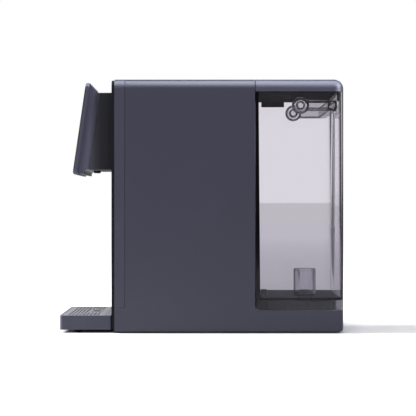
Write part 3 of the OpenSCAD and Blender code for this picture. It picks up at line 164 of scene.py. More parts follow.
def moulded(name, tone, roughness, grain_mm, depth_mm, edge_mm, drift=0.06, ior=1.53, painted_light=None):
    """A moulded polymer: spark-eroded grain in the sheen, a slight drift of tone and softened edges.

    The grain is drawn a few times coarser than a real spark-eroded skin, so that it shows in the render.
    Given painted light, the tone is painted paler by a factor at one depth Y, as if lit there, and falls to
    its own value at another.
    """
    material, tree = blank(name)
    place = add(tree, "TexCoord").outputs["Object"]
    cloud = add(tree, "TexNoise", {"Vector": place, "Scale": 1 / (DRIFT_MM * MM), "Detail": 2.0})
    tint = add(tree, "Mix", {
        0: cloud,
        6: (*(c * (1 - drift) for c in tone), 1),
        7: (*(c * (1 + drift) for c in tone), 1),
    }, data_type="RGBA")
    shade = tint.outputs[2]
    if painted_light:
        near, far, gain = painted_light
        # Painted light: the tone is scaled paler by depth, in place of light from a lamp
        depth = add(tree, "SeparateXYZ", {0: place})
        pale = add(tree, "MapRange", {
            "Value": depth.outputs["Y"], "From Min": near, "From Max": far, "To Min": gain, "To Max": 1.0})
        shade = add(tree, "VectorMath", {0: shade, "Scale": pale}, operation="SCALE")
    grain = add(tree, "TexNoise", {"Vector": place, "Scale": 1 / (grain_mm * MM), "Detail": 3.0})
    gloss = add(tree, "MapRange", {
        "Value": grain, "To Min": roughness - SHEEN_SPREAD, "To Max": roughness + SHEEN_SPREAD})
    edge = add(tree, "Bevel", {"Radius": edge_mm * MM}, samples=4)
    bump = add(tree, "Bump", {"Height": grain, "Distance": depth_mm * MM, "Strength": 0.6, "Normal": edge})
    shader = add(tree, "BsdfPrincipled", {
        "Base Color": shade, "Roughness": gloss, "Normal": bump, "IOR": ior})
    add(tree, "OutputMaterial", {"Surface": shader})
    return material


# ABS with a fine spark-eroded skin: an even satin sheen that breaks up softly, with no mirror
def slate_abs():
    looks = bpy.context.scene.purifier_finishes
    return moulded(
        "slate_ABS_moulded", looks.slate, looks.slate_roughness, grain_mm=1.1, depth_mm=0.02, edge_mm=0.6)


# Black ABS with a finer skin: deeper than the housing, with a like sheen
def black_abs():
    looks = bpy.context.scene.purifier_finishes
    return moulded(
        "black_ABS_moulded", looks.ink, looks.ink_roughness, grain_mm=0.9, depth_mm=0.012, edge_mm=0.5)


# Grey ABS of the drip grille, matt so that wet slots don't glare
def grille_abs():
    looks = bpy.context.scene.purifier_finishes
    return moulded("grey_ABS_moulded", looks.grille, 0.45, grain_mm=0.8, depth_mm=0.015, edge_mm=0.4)


# Nitrile rubber, pressed: dull, close to black, with a dusty tone
def nitrile_rubber():
    looks = bpy.context.scene.purifier_finishes
    return moulded("nitrile_rubber_pressed", looks.rubber, 0.78, grain_mm=0.7, depth_mm=0.03, edge_mm=0.5)


# Natural polypropylene: milky, waxy sheen
def natural_polypropylene():
    return moulded(
        "natural_polypropylene_moulded", linear("#DAD7CC"), 0.5, grain_mm=1.2, depth_mm=0.02, edge_mm=0.4,
        drift=0.04, ior=1.49)


# White polypropylene of the filter cartridges: cleaner and glossier
def cartridge_polypropylene():
    return moulded(
        "white_polypropylene_moulded", linear("#D5D8DC"), 0.34, grain_mm=1.4, depth_mm=0.012, edge_mm=0.6,
        drift=0.03, ior=1.49)


# Glass-filled nylon of the valve coils: dark blue grey and dry
def coil_nylon():
    return moulded(
        "glass_filled_nylon_moulded", linear("#33435A"), 0.55, grain_mm=0.8, depth_mm=0.03, edge_mm=0.4)


def clear(name, density, tint, weld=None):
    """A clear polymer that darkens with thickness. Rays from lamps pass straight through it.

    Given a weld box of heights and half width, what lies inside that box is moulded in matt black.
    """
    material, tree = blank(name)
    path = add(tree, "LightPath")
    body = add(tree, "BsdfPrincipled", {
        "Base Color": (1, 1, 1, 1), "Roughness": 0.0, "IOR": 1.5, "Transmission Weight": 1.0,
        "Specular Tint": (*linear("#DADAE1"), 1)})
    through = add(tree, "BsdfTransparent", {"Color": (*linear("#F9F9FA"), 1)})
    mixed = add(tree, "MixShader", {0: path.outputs["Is Shadow Ray"], 1: body, 2: through})
    if weld:
        low, high, aside = weld
        place = add(tree, "SeparateXYZ", {0: add(tree, "TexCoord").outputs["Object"]})
        level = add(tree, "Math", {
            0: place.outputs["Z"], 1: (low + high) / 2, 2: (high - low) / 2}, operation="COMPARE")
        across = add(tree, "Math", {0: place.outputs["X"], 1: 0.0, 2: aside}, operation="COMPARE")
        inside = add(tree, "Math", {0: level, 1: across}, operation="MULTIPLY")
        black = add(tree, "BsdfPrincipled", {
            "Base Color": (*linear("#202024"), 1), "Roughness": 0.75, "IOR": 1.2})
        mixed = add(tree, "MixShader", {0: inside, 1: mixed, 2: black})
    dye = add(tree, "VolumeAbsorption", {"Color": (*tint, 1), "Density": density})
    add(tree, "OutputMaterial", {"Surface": mixed, "Volume": dye})
    return material


# Smoke-tinted AS polymer, polished tool: thin walls look pale grey and edge-on walls go black
def smoky_polymer():
    looks = bpy.context.scene.purifier_finishes
    return clear("smoky_AS_polymer_polished", looks.smoke_density, looks.smoke)


# The same polymer in the standpipe, three times as smoky and welded to the tank's black floor at its foot
def pipe_polymer():
    looks = bpy.context.scene.purifier_finishes
    return clear("smoky_AS_polymer_black_foot", 3 * looks.smoke_density, looks.smoke, PIPE_FOOT)


# The same polymer in the handle, dyed deeper: thin flanges stay clear and rims go dark
def handle_polymer():
    looks = bpy.context.scene.purifier_finishes
    return clear("smoky_AS_polymer_deep", 8 * looks.smoke_density, linear("#595065"))


# The same polymer for the tank, whose floor is moulded in black and welded to the clear walls
def tank_polymer():
    looks = bpy.context.scene.purifier_finishes
    return clear("smoky_AS_polymer_welded_to_black", looks.smoke_density, looks.smoke, FLOOR_BOX)


# Black polypropylene, coarse grain: dry, without a sheen even along the surface
def matt_polypropylene():
    return moulded(
        "black_polypropylene_coarse", linear("#222227"), 0.8, grain_mm=0.9, depth_mm=0.03, edge_mm=0.5,
        ior=1.2)


# The same for the plinth under the tank, greyer with regrind
def plinth_polypropylene():
    return moulded(
        "dark_grey_polypropylene_coarse", linear("#2E2E32"), 0.8, grain_mm=0.9, depth_mm=0.03, edge_mm=0.5,
        ior=1.2)


# Black ABS of the neck, spark-textured to a low sheen: its underside picks up the counter. Its black is
# painted
# paler towards the slate flare: painted light where the flare is lit, fading to the neck's shade
def neck_abs():
    return moulded(
        "black_ABS_spark_texture", linear("#232328"), 0.6, grain_mm=0.9, depth_mm=0.03, edge_mm=0.5,
        ior=1.32, painted_light=NECK_PAINTED_LIGHT)


# Silicone, extruded: milky and soft, light soaks in a little way
def milky_silicone():
    material, tree = blank("milky_silicone_extruded")
    place = add(tree, "TexCoord").outputs["Object"]
    cloud = add(tree, "TexNoise", {"Vector": place, "Scale": 1 / (6 * MM), "Detail": 2.0})
    gloss = add(tree, "MapRange", {"Value": cloud, "To Min": 0.35, "To Max": 0.5})
    shader = add(tree, "BsdfPrincipled", {
        "Base Color": (*linear("#D9DAD5"), 1), "Roughness": gloss, "IOR": 1.41,
        "Subsurface Weight": 0.35, "Subsurface Radius": (2 * MM, 2 * MM, 2 * MM), "Subsurface Scale": 1.0})
    add(tree, "OutputMaterial", {"Surface": shader})
    return material


# Toughened float glass with a black print behind it: deep black under a sharp reflection
def printed_glass():
    looks = bpy.context.scene.purifier_finishes
    material, tree = blank("black_printed_float_glass")
    place = add(tree, "TexCoord").outputs["Object"]
    wave = add(tree, "TexNoise", {"Vector": place, "Scale": 1 / (45 * MM), "Detail": 1.0})
    bump = add(tree, "Bump", {"Height": wave, "Distance": 0.02 * MM, "Strength": 0.3})
    smear = add(tree, "MapRange", {"Value": wave, "To Min": 0.03, "To Max": 0.07})
    shader = add(tree, "BsdfPrincipled", {
        "Base Color": (*looks.glass, 1), "Roughness": smear, "IOR": 1.52,
        "Normal": bump})
    add(tree, "OutputMaterial", {"Surface": shader})
    return material


def metal(name, tone, roughness, stretch, grain_mm):
    """A bare metal whose rolling or drawing lines run one way, so that the noise is stretched along it.

    The lines are drawn coarser than real ones, so that they show in the render.
    """
    material, tree = blank(name)
    place = add(tree, "TexCoord").outputs["Object"]
    drawn = add(tree, "Mapping", {"Vector": place, "Scale": stretch})
    lines = add(tree, "TexNoise", {"Vector": drawn, "Scale": 1 / (grain_mm * MM), "Detail": 4.0})
    tint = add(tree, "Mix", {0: lines, 6: (*(c * 0.85 for c in tone), 1), 7: (*tone, 1)}, data_type="RGBA")
    gloss = add(tree, "MapRange", {"Value": lines, "To Min": roughness - 0.08, "To Max": roughness + 0.1})
    bump = add(tree, "Bump", {"Height": lines, "Distance": 0.01 * MM, "Strength": 0.5})
    shader = add(tree, "BsdfPrincipled", {
        "Base Color": tint.outputs[2], "Roughness": gloss, "Normal": bump,
        "Metallic": 1.0})
    add(tree, "OutputMaterial", {"Surface": shader})
    return material


# Zinc-plated steel: cool grey with a faint cloud in the plating
def plated_steel():
    return metal("zinc_plated_steel", linear("#B9BCC0"), 0.36, (1, 1, 1), 3.0)


# Drawn steel can of a motor: lines along its length
def drawn_steel():
    return metal("drawn_steel_can", linear("#A9ABAF"), 0.32, (0.06, 1, 1), 1.2)


# Extruded aluminium: pale, lines up its length
def extruded_aluminium():
    return metal("extruded_aluminium", linear("#C6C7CA"), 0.34, (1, 1, 0.05), 1.0)


# Fibreglass board under green solder resist: glossy green, paler where copper runs below
def green_board():
    material, tree = blank("green_fibreglass_board")
    place = add(tree, "TexCoord").outputs["Object"]
    runs = add(tree, "TexBrick", {
        "Vector": place, "Scale": 1 / (9 * MM), "Mortar Size": 0.05, "Color1": (*linear("#1F4A2C"), 1),
        "Color2": (*linear("#245433"), 1), "Mortar": (*linear("#3C7A4A"), 1)})
    shader = add(tree, "BsdfPrincipled", {"Base Color": runs, "Roughness": 0.3, "IOR": 1.5})
    add(tree, "OutputMaterial", {"Surface": shader})
    return material


# Screen print: a thin, dry film with a fine tooth
def screen_print():
    looks = bpy.context.scene.purifier_finishes
    return moulded(
        "pale_screen_print", looks.marks, 0.5, grain_mm=0.4, depth_mm=0.004, edge_mm=0.02, drift=0.03)


def printed_film(name, code):
    """A printed polypropylene band: an even colour under a satin sheen."""
    return moulded(
        name, linear(code), 0.4, grain_mm=0.6, depth_mm=0.004, edge_mm=0.05, drift=0.03, ior=1.49)


# Printed polypropylene band, blue for the filter that comes first
def blue_film():
    return printed_film("blue_printed_polypropylene", "#3D6C9E")


# Printed polypropylene band, green for the membrane
def green_film():
    return printed_film("green_printed_polypropylene", "#4B8A63")


FINISHES = {
    "print": screen_print, "blue_print": blue_film, "green_print": green_film,
    "slate": slate_abs, "black": black_abs, "neck": neck_abs, "grille": grille_abs,
    "matt": matt_polypropylene, "plinth": plinth_polypropylene, "rubber": nitrile_rubber,
    "natural": natural_polypropylene, "cartridge": cartridge_polypropylene, "coil": coil_nylon,
    "smoky": smoky_polymer, "deep": handle_polymer, "pipe": pipe_polymer, "tank": tank_polymer,
    "silicone": milky_silicone, "glass": printed_glass, "steel": plated_steel,
    "can": drawn_steel, "aluminium": extruded_aluminium, "board": green_board,
}
MADE = {}


def finish(name):
    """The material of that name, made when it is first asked for."""
    if name not in MADE:
        MADE[name] = FINISHES[name]()
    return MADE[name]


def dress(name, nodes):
    """Gives CAD nodes a finish by their own material slots."""
    for node in nodes:
        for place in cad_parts[node].material_slots:
            place.material = finish(name)


def turned(profile, sides, lobes=None, waves=4):
    """A profile of (radius, height) turned once about the upright axis, closed by a point at either end.

    The point at step s of the profile and angle t is (R cos t, R sin t, z(s)), where R is
    r(s) (1 + lobe(s) cos(waves t)).
    """
    profile = np.asarray(profile, float)
    lobes = np.zeros(len(profile)) if lobes is None else np.asarray(lobes, float)
    angle = np.arange(sides) * 2 * np.pi / sides
    reach = profile[1:-1, :1] * (1 + lobes[1:-1, None] * np.cos(waves * angle))
    rings = np.stack([reach * np.cos(angle), reach * np.sin(angle), profile[1:-1, 1:] + 0 * angle], axis=-1)
    points = np.concatenate([[[0, 0, profile[0, 1]]], rings.reshape(-1, 3), [[0, 0, profile[-1, 1]]]])
    here = 1 + np.arange(rings.size // 3).reshape(-1, sides)
    beside = np.roll(here, -1, axis=1)
    walls = np.stack([here[:-1], beside[:-1], beside[1:], here[1:]], axis=-1).reshape(-1, 4)
    low = np.stack([0 * here[0], beside[0], here[0]], axis=-1)
    high = np.stack([0 * here[0] + len(points) - 1, here[-1], beside[-1]], axis=-1)
    return points, [walls, low, high]


def carried(path, aside, rise, profile):
    """A closed profile carried round a closed path.

    The point at step i of the path and step j of the profile is path(i) + a(j) aside(i) + b(j) rise(i).
    """
    path, aside, rise = (np.asarray(line, float) for line in (path, aside, rise))
    profile = np.asarray(profile, float)
    rise = np.broadcast_to(rise, path.shape)
    across, upright = profile[None, :, :1] * aside[:, None], profile[None, :, 1:] * rise[:, None]
    return skin(path[:, None] + across + upright, True)


def skin(rings, closed):
    """Faces over a grid of rings: each ring closes on itself, and the row of rings closes or is capped."""
    here = np.arange(rings.shape[0] * rings.shape[1]).reshape(rings.shape[:2])
    ahead = np.roll(here, -1, axis=0)
    walls = np.stack([here, ahead, np.roll(ahead, -1, axis=1), np.roll(here, -1, axis=1)], axis=-1)
    if closed:
        return rings.reshape(-1, 3), [walls.reshape(-1, 4)]
    return rings.reshape(-1, 3), [walls[:-1].reshape(-1, 4), here[:1, ::-1], here[-1:]]


def rounded(corners, radius, steps=6):
    """A closed outline whose corners c are curves, with a and b one radius from c on either side.

    The point at step t of a corner is (1-t)^2 a + 2t(1-t) c + t^2 b.
    """
    corner = np.asarray(corners, float)
    before, after = np.roll(corner, 1, axis=0) - corner, np.roll(corner, -1, axis=0) - corner
    a = corner + before * np.minimum(radius / np.linalg.norm(before, axis=1), 0.49)[:, None]
    b = corner + after * np.minimum(radius / np.linalg.norm(after, axis=1), 0.49)[:, None]
    t = np.linspace(0, 1, steps)[None, :, None]
    curve = (1 - t) ** 2 * a[:, None] + 2 * t * (1 - t) * corner[:, None] + t ** 2 * b[:, None]
    return curve.reshape(-1, 2)


def copies(shape, places):
    """The same shape at several places: each copy is the shape's points plus its place."""
    points, groups = shape
    places = np.asarray(places, float)
    step = len(points) * np.arange(len(places))
    return (points[None] + places[:, None]).reshape(-1, 3), [
        (group[None] + step[:, None, None]).reshape(-1, group.shape[1]) for group in groups]


def joined(shapes):
    """Several shapes as one: their points in a row, each shape's faces moved on by the points before it."""
    start = np.cumsum([0] + [len(points) for points, groups in shapes])
    return np.concatenate([points for points, groups in shapes]), [
        group + first for first, (points, groups) in zip(start, shapes) for group in groups]


def circle(steps):
    """Angles t once round, and the outward vectors (cos t, sin t, 0) at them."""
    turn = np.linspace(0, 2 * np.pi, steps, endpoint=False)
    return turn, np.stack([np.cos(turn), np.sin(turn), 0 * turn], axis=-1)


def in_mm(corners):
    """Corners in metres as arrays in millimetres."""
    return [np.array(corner) / MM for corner in corners]


def centres(node):
    """Middles in millimetres of a node's like solids, split by side and by gaps along the depth."""
    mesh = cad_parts[node].data
    points = np.empty(3 * len(mesh.vertices))
    mesh.vertices.foreach_get("co", points)
    points = points.reshape(-1, 3) / MM
    depth = np.unique(points[:, 1].round(2))
    least_gap = 8
    rows = np.split(depth, np.flatnonzero(np.diff(depth) > least_gap) + 1)
    reach = np.abs(points[:, 0])
    aside = (reach.max() + reach.min()) / 2
    return [(side * aside, (row[0] + row[-1]) / 2, 0) for side in (-1, 1) for row in rows]


def piece(name, shape, dressing, body, stands_for=()):
    """A new piece from points in millimetres, with its finish, its body and the node that it stands for."""
    points, groups = shape
    mesh = bpy.data.meshes.new(name)
    mesh.from_pydata((points * MM).tolist(), [], [face for group in groups for face in group.tolist()])
    work = bmesh.new()
    work.from_mesh(mesh)
    bmesh.ops.recalc_face_normals(work, faces=work.faces)
    work.to_mesh(mesh)
    work.free()
    mesh.polygons.foreach_set("use_smooth", np.ones(len(mesh.polygons), bool))
    mesh.set_sharp_from_angle(angle=SHARP_EDGE)
    mesh.materials.append(finish(dressing))
    thing = bpy.data.objects.new(name, mesh)
    bpy.context.scene.collection.objects.link(thing)
    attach(thing, body)
    if stands_for:
        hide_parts(*stands_for)
    return thing


class PieceOperator(bpy.types.Operator):
    """What every operator of this object shares."""

    bl_options = {"REGISTER", "UNDO"}


class PURIFIER_OT_stage(PieceOperator):
    """Paper floor, soft studio light and the camera beside the tank"""

    bl_idname = "purifier.stage"
    bl_label = "Stage"

    def execute(self, context):
        scene = context.scene
        stage = scene.purifier_stage
        scene.view_settings.view_transform = "Standard"
        make_floor(scene, stage)
        make_room(scene, stage)
        make_lamps(scene, stage)
        make_camera(scene, stage)
        return {"FINISHED"}


def make_floor(scene, stage):
    """A wide sheet of paper. It is white to the camera where light falls on it and keeps the real shadow,
    deepened by painted shadow round and under the object.

    Through clear walls it shows as a pale pool behind the object, darkened towards the object by painted
    shadow, with a band of painted shade beside the far corner.
    """
    half = 12.0
    corners = [(-half, -half, 0), (half, -half, 0), (half, half, 0), (-half, half, 0)]
    mesh = bpy.data.meshes.new("paper_floor")
    mesh.from_pydata(corners, [], [(0, 1, 2, 3)])
    floor = bpy.data.objects.new("paper_floor", mesh)
    scene.collection.objects.link(floor)
    material, tree = blank("white_paper_sweep")
    path = add(tree, "LightPath")
    place = add(tree, "TexCoord").outputs["Object"]
    parts = add(tree, "SeparateXYZ", {0: place})
    paper = add(tree, "BsdfDiffuse", {"Color": (*stage.floor, 1)})

    # To the camera the paper glows least round the object, more to either side of it and most far away:
    # painted shadow round the object on top of its real shadow
    least, more, most = 0.34, 0.7, 0.9
    near_side, far_side = (85 * MM, 130 * MM), (-25 * MM, -60 * MM)
    away = add(tree, "VectorMath", {0: place}, operation="LENGTH")
    lift = add(tree, "MapRange", {
        "Value": away.outputs["Value"], "From Min": 0.28, "From Max": 0.9, "To Min": least, "To Max": most})
    for start, end in (near_side, far_side):
        strip = add(tree, "MapRange", {
            "Value": parts.outputs["X"], "From Min": start, "From Max": end, "To Min": least, "To Max": more})
        lift = add(tree, "Math", {0: lift, 1: strip}, operation="MAXIMUM")
    # Painted contact shade: the glow is dimmed where the object closes in over the paper
    painted_contact_shade = add(tree, "AmbientOcclusion", {"Distance": 50 * MM}, samples=8)
    open_to = add(tree, "Math", {0: painted_contact_shade.outputs["AO"], 1: lift}, operation="MULTIPLY")
    shown = add(tree, "Math", {0: path.outputs["Is Camera Ray"], 1: open_to}, operation="MULTIPLY")
    glow = add(tree, "Emission", {"Color": (1, 1, 1, 1), "Strength": shown})
    seen = add(tree, "AddShader", {0: paper, 1: glow})

    # To clear walls it is a pool that pales and widens with distance, and it is pale again far aside. Its
    # darkening towards the object is painted shadow
    pool_half = 260 * MM
    depth = add(tree, "MapRange", {
        "Value": parts.outputs["X"], "From Min": -6.0, "From Max": -0.6, "To Min": 0.62, "To Max": 0.43})
    aside = add(tree, "Math", {0: parts.outputs["Y"]}, operation="ABSOLUTE")
    beyond = add(tree, "Math", {0: aside, 1: pool_half}, operation="SUBTRACT")
    slant = add(tree, "Math", {0: beyond, 1: parts.outputs["X"]}, operation="DIVIDE")
    pool = add(tree, "MapRange", {
        "Value": slant, "From Min": -0.14, "From Max": -0.235, "To Min": 1.0, "To Max": 0.03})
    far_aside = add(tree, "MapRange", {
        "Value": slant, "From Min": -0.5, "From Max": -0.9, "To Min": 0.0, "To Max": 0.8})
    pools = add(tree, "Math", {0: pool, 1: far_aside}, operation="MAXIMUM")

    # The band of painted shade beside the tank's far corner lies between two slanted lines on the paper, each
    # given by its normal and its offset
    inner_line, outer_line = ((-0.093, 1.0, 0.0), -209 * MM), ((-0.036, -1.0, 0.0), 85.8 * MM)
    within = []
    for normal, offset in (inner_line, outer_line):
        along = add(tree, "VectorMath", {0: place, 1: normal}, operation="DOT_PRODUCT")
        within.append(add(tree, "Math", {0: along.outputs["Value"], 1: offset}, operation="ADD"))
    between = add(tree, "Math", {0: within[0], 1: within[1]}, operation="MINIMUM")
    painted_shade_band = add(tree, "MapRange", {
        "Value": between, "From Min": 0.0, "From Max": 30 * MM, "To Min": 1.0, "To Max": 0.06})
    pools = add(tree, "Math", {0: pools, 1: painted_shade_band}, operation="MULTIPLY")
    lit = add(tree, "Math", {0: depth, 1: pools}, operation="MULTIPLY")
    behind = add(tree, "Emission", {"Color": (1.0, 0.965, 1.075, 1), "Strength": lit})
    mixed = add(tree, "MixShader", {0: path.outputs["Is Transmission Ray"], 1: seen, 2: behind})
    add(tree, "OutputMaterial", {"Surface": mixed})
    mesh.materials.append(material)


def make_room(scene, stage):
    """White to the camera, an even pale room to the object, and a pale backdrop behind clear pieces."""
    world = bpy.data.worlds.new("pale_room")
    scene.world = world
    world.use_nodes = True
    tree = world.node_tree
    tree.nodes.clear()
    path = add(tree, "LightPath")
    place = add(tree, "TexCoord").outputs["Generated"]
    way = add(tree, "SeparateXYZ", {0: place})

    # The object stands in an even room with a white wall opposite the camera, which ends to the rear
    wall = add(tree, "MapRange", {
        "Value": way.outputs["X"], "From Min": -0.7, "From Max": -0.95,
        "To Min": 0.0, "To Max": 1.0}, interpolation_type="SMOOTHSTEP")
    rearward = add(tree, "MapRange", {
        "Value": way.outputs["Y"], "From Min": 0.04, "From Max": 0.2, "To Min": 1.0, "To Max": 0.05})
    lit = add(tree, "Math", {0: wall, 1: rearward}, operation="MULTIPLY")
    room = add(tree, "Math", {0: lit, 1: stage.room}, operation="MAXIMUM")

    # Clear pieces show a screen behind them with a tone step at the horizon, walls far aside and a band of
    # painted shade
    sky = add(tree, "MapRange", {
        "Value": way.outputs["Z"], "From Min": 0.002, "From Max": 0.0032, "To Min": 0.63, "To Max": 0.865})
    screen = add(tree, "MapRange", {
        "Value": way.outputs["X"], "From Min": -0.972, "From Max": -0.99,
        "To Min": 0.03, "To Max": 1.0}, interpolation_type="SMOOTHSTEP")
    walls = add(tree, "MapRange", {
        "Value": way.outputs["X"], "From Min": -0.88, "From Max": -0.76, "To Min": 0.0, "To Max": 0.6},
        interpolation_type="SMOOTHSTEP")
    around = add(tree, "Math", {0: screen, 1: walls}, operation="MAXIMUM")
    open_sky = add(tree, "Math", {0: around, 1: sky}, operation="MULTIPLY")
    # Painted shade: a dark band in the screen, as seen through the clear walls beside the tank's far corner
    gap_middle = -0.03
    bent = add(tree, "Math", {0: way.outputs["Y"], 1: gap_middle}, operation="SUBTRACT")
    aside = add(tree, "Math", {0: bent}, operation="ABSOLUTE")
    painted_shade_band = add(tree, "MapRange", {
        "Value": aside, "From Min": 0.046, "From Max": 0.056, "To Min": 0.06, "To Max": 1.0})
    behind = add(tree, "Math", {0: open_sky, 1: painted_shade_band}, operation="MULTIPLY")

    # The camera sees plain white
    clearly = add(tree, "Mix", {
        0: path.outputs["Is Transmission Ray"], 2: room, 3: behind}, data_type="FLOAT")
    level = add(tree, "Mix", {0: path.outputs["Is Camera Ray"], 2: clearly, 3: 1.0}, data_type="FLOAT")
    tone = add(tree, "Mix", {
        0: path.outputs["Is Transmission Ray"], 6: (1, 1, 1, 1), 7: (1.01, 0.985, 1.04, 1)}, data_type="RGBA")
    light = add(tree, "Background", {"Color": tone.outputs[2], "Strength": level})

    # Gloss shows a cool card that hangs above, towards the rear and on the camera's side
    card_way = Vector((0.15, 0.42, 0.9)).normalized()
    lean = add(tree, "VectorMath", {0: place, 1: card_way}, operation="DOT_PRODUCT")
    high = add(tree, "MapRange", {
        "Value": lean.outputs["Value"], "From Min": 0.58, "From Max": 0.9,
        "To Min": 0.0, "To Max": stage.card}, interpolation_type="SMOOTHSTEP")
    near = add(tree, "MapRange", {
        "Value": way.outputs["X"], "From Min": -0.5, "From Max": -0.2}, interpolation_type="SMOOTHSTEP")
    hung = add(tree, "Math", {0: high, 1: near}, operation="MULTIPLY")
    shown = add(tree, "Math", {0: hung, 1: path.outputs["Is Glossy Ray"]}, operation="MULTIPLY")
    card = add(tree, "Background", {"Color": (0.8, 0.84, 1.0, 1), "Strength": shown})
    both = add(tree, "AddShader", {0: light, 1: card})
    add(tree, "OutputWorld", {"Surface": both})


def make_lamps(scene, stage):
    """Six soft boxes.

    Flags keep the key off the tops, the top and the fill off the panel, and hold three to a piece or two.
    """
    middle, head = Vector((0, 0.02, 0.19)), Vector((0.075, -0.16, 0.29))
    corner, apron = Vector((0.09, 0.2, 0.365)), Vector((0.09, -0.2, 0.02))
    # Name, power, place, aim, width and height, spread in degrees, flagged nodes and what the flag does
    boxes = [
        ("key_softbox", stage.key, (0.0, -1.9, 1.35), middle, (1.0, 1.0), 180,
         ("body_housing", "top_hatch", "lid_cap"), "EXCLUDE"),
        ("top_softbox", stage.top, (0.7, 0.0, 1.8), middle, (0.5, 2.0), 180, ("head_panel",), "EXCLUDE"),
        ("fill_softbox", stage.fill, (2.2, 0.3, 1.5), middle, (1.2, 0.8), 180, ("head_panel",), "EXCLUDE"),
        ("rear_softbox", stage.rear, (0.89, 0.82, 0.95), head, (0.25, 0.5), 45,
         ("head_panel", "head_housing"), "INCLUDE"),
        ("tray_softbox", stage.tray, (0.1, -1.3, 0.12), apron, (0.6, 0.3), 180, ("drip_tray",), "INCLUDE"),
        ("corner_softbox", stage.corner, (0.47, 1.23, 0.7), corner, (0.8, 0.8), 180,
         ("lid_cap",), "INCLUDE"),
    ]
    for name, watts, place, aim, (wide, high), spread, flagged, state in boxes:
        lamp = bpy.data.lights.new(name, "AREA")
        lamp.shape = "RECTANGLE"
        lamp.size, lamp.size_y = wide, high
        lamp.energy = watts
        lamp.spread = math.radians(spread)
        box = bpy.data.objects.new(name, lamp)
        box.location = place
        box.rotation_euler = (aim - Vector(place)).to_track_quat("-Z", "Y").to_euler()
        scene.collection.objects.link(box)
        flags = bpy.data.collections.new("flags_of_" + name)
        box.light_linking.receiver_collection = flags
        for node in flagged:
            flags.objects.link(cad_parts[node])
        for link in flags.collection_objects:
            link.light_linking.link_state = state


def make_camera(scene, stage):
    """A long lens square to the object's side, level, at the height of the tank's middle."""
    lens = bpy.data.cameras.new("side_camera")
    lens.sensor_width = 36
    lens.lens = stage.lens
    lens.shift_y = stage.shift
    lens.clip_end = 100
    camera = bpy.data.objects.new("side_camera", lens)
    camera.location = (stage.distance, stage.aside, stage.eye)
    camera.rotation_euler = (math.pi / 2, 0, math.pi / 2)
    scene.collection.objects.link(camera)
    scene.camera = camera


class PURIFIER_OT_housing(PieceOperator):
    """Slate housing, cover, hatch, lid, tray and panel frame"""

    bl_idname = "purifier.housing"
    bl_label = "Slate housing"

    def execute(self, context):
        dress("slate", ["body_housing", "front_cover", "top_hatch", "lid_cap", "drip_tray", "head_panel"])
        return {"FINISHED"}


class PURIFIER_OT_black_mouldings(PieceOperator):
    """Front plate, neck, base, plinth, liner, valves and other black mouldings"""

    bl_idname = "purifier.black_mouldings"
    bl_label = "Black mouldings"

    def execute(self, context):
        dress("black", [
            "base_plate", "spout_nozzle", "lid_clips", "dock_socket", "return_socket",
            "outlet_valve_body", "return_valve", "mains_inlet", "pump_head", "delivery_pump", "tds_probe"])
        dress("matt", ["lid_liner", "front_plate"])
        dress("plinth", ["tank_plinth"])
        dress("neck", ["head_housing"])
        return {"FINISHED"}


class PURIFIER_OT_touch_glass(PieceOperator):
    """Black touch glass on the leaning head"""

    bl_idname = "purifier.touch_glass"
    bl_label = "Touch glass"

    def execute(self, context):
        dress("glass", ["touch_glass"])
        return {"FINISHED"}


class PURIFIER_OT_clear_tank(PieceOperator):
    """Smoky clear tank, handle pins and standpipe"""

    bl_idname = "purifier.clear_tank"
    bl_label = "Clear tank"

    def execute(self, context):
        dress("tank", ["tank_shell"])
        dress("smoky", ["handle_pins"])
        low, high = in_mm(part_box("standpipe"))
        middle, reach = (low + high) / 2, (high[0] - low[0]) / 2
        foot, top = low[2], high[2]
        wall, lip, pinch, hold = 2.0, 1.0, 0.35, 0.4
        inside = reach - wall
        # The line of (radius, height) goes up the outside, over a round lip and down the inside. At angle
        # t the point is the axis plus r (cos t, sin t), and inside r gains a faint flute, 0.03 cos 14t
        swell = np.linspace(0, np.pi, 9)
        line = np.concatenate([
            [(reach, foot), (reach, foot + hold), (reach, top - 3.6 * lip), (reach, top - 3 * lip),
             (reach - pinch, top - 2.4 * lip)],
            np.stack([reach - lip + lip * np.cos(swell), top - lip + lip * np.sin(swell)], axis=-1),
            [(inside, top - 2.4 * lip), (inside, top - 3 * lip), (inside, foot + hold), (inside, foot)]])
        turn, out = circle(128)
        flute = 0.03 * np.cos(14 * turn)[:, None] * (line[:, 0] < inside + 0.01)
        rings = np.stack([
            middle[0] + (line[:, 0] + flute) * out[:, :1], middle[1] + (line[:, 0] + flute) * out[:, 1:2],
            line[:, 1] + 0 * flute], axis=-1)
        piece("beaded_standpipe", skin(rings, True), "pipe", "tank", ["standpipe"])
        return {"FINISHED"}


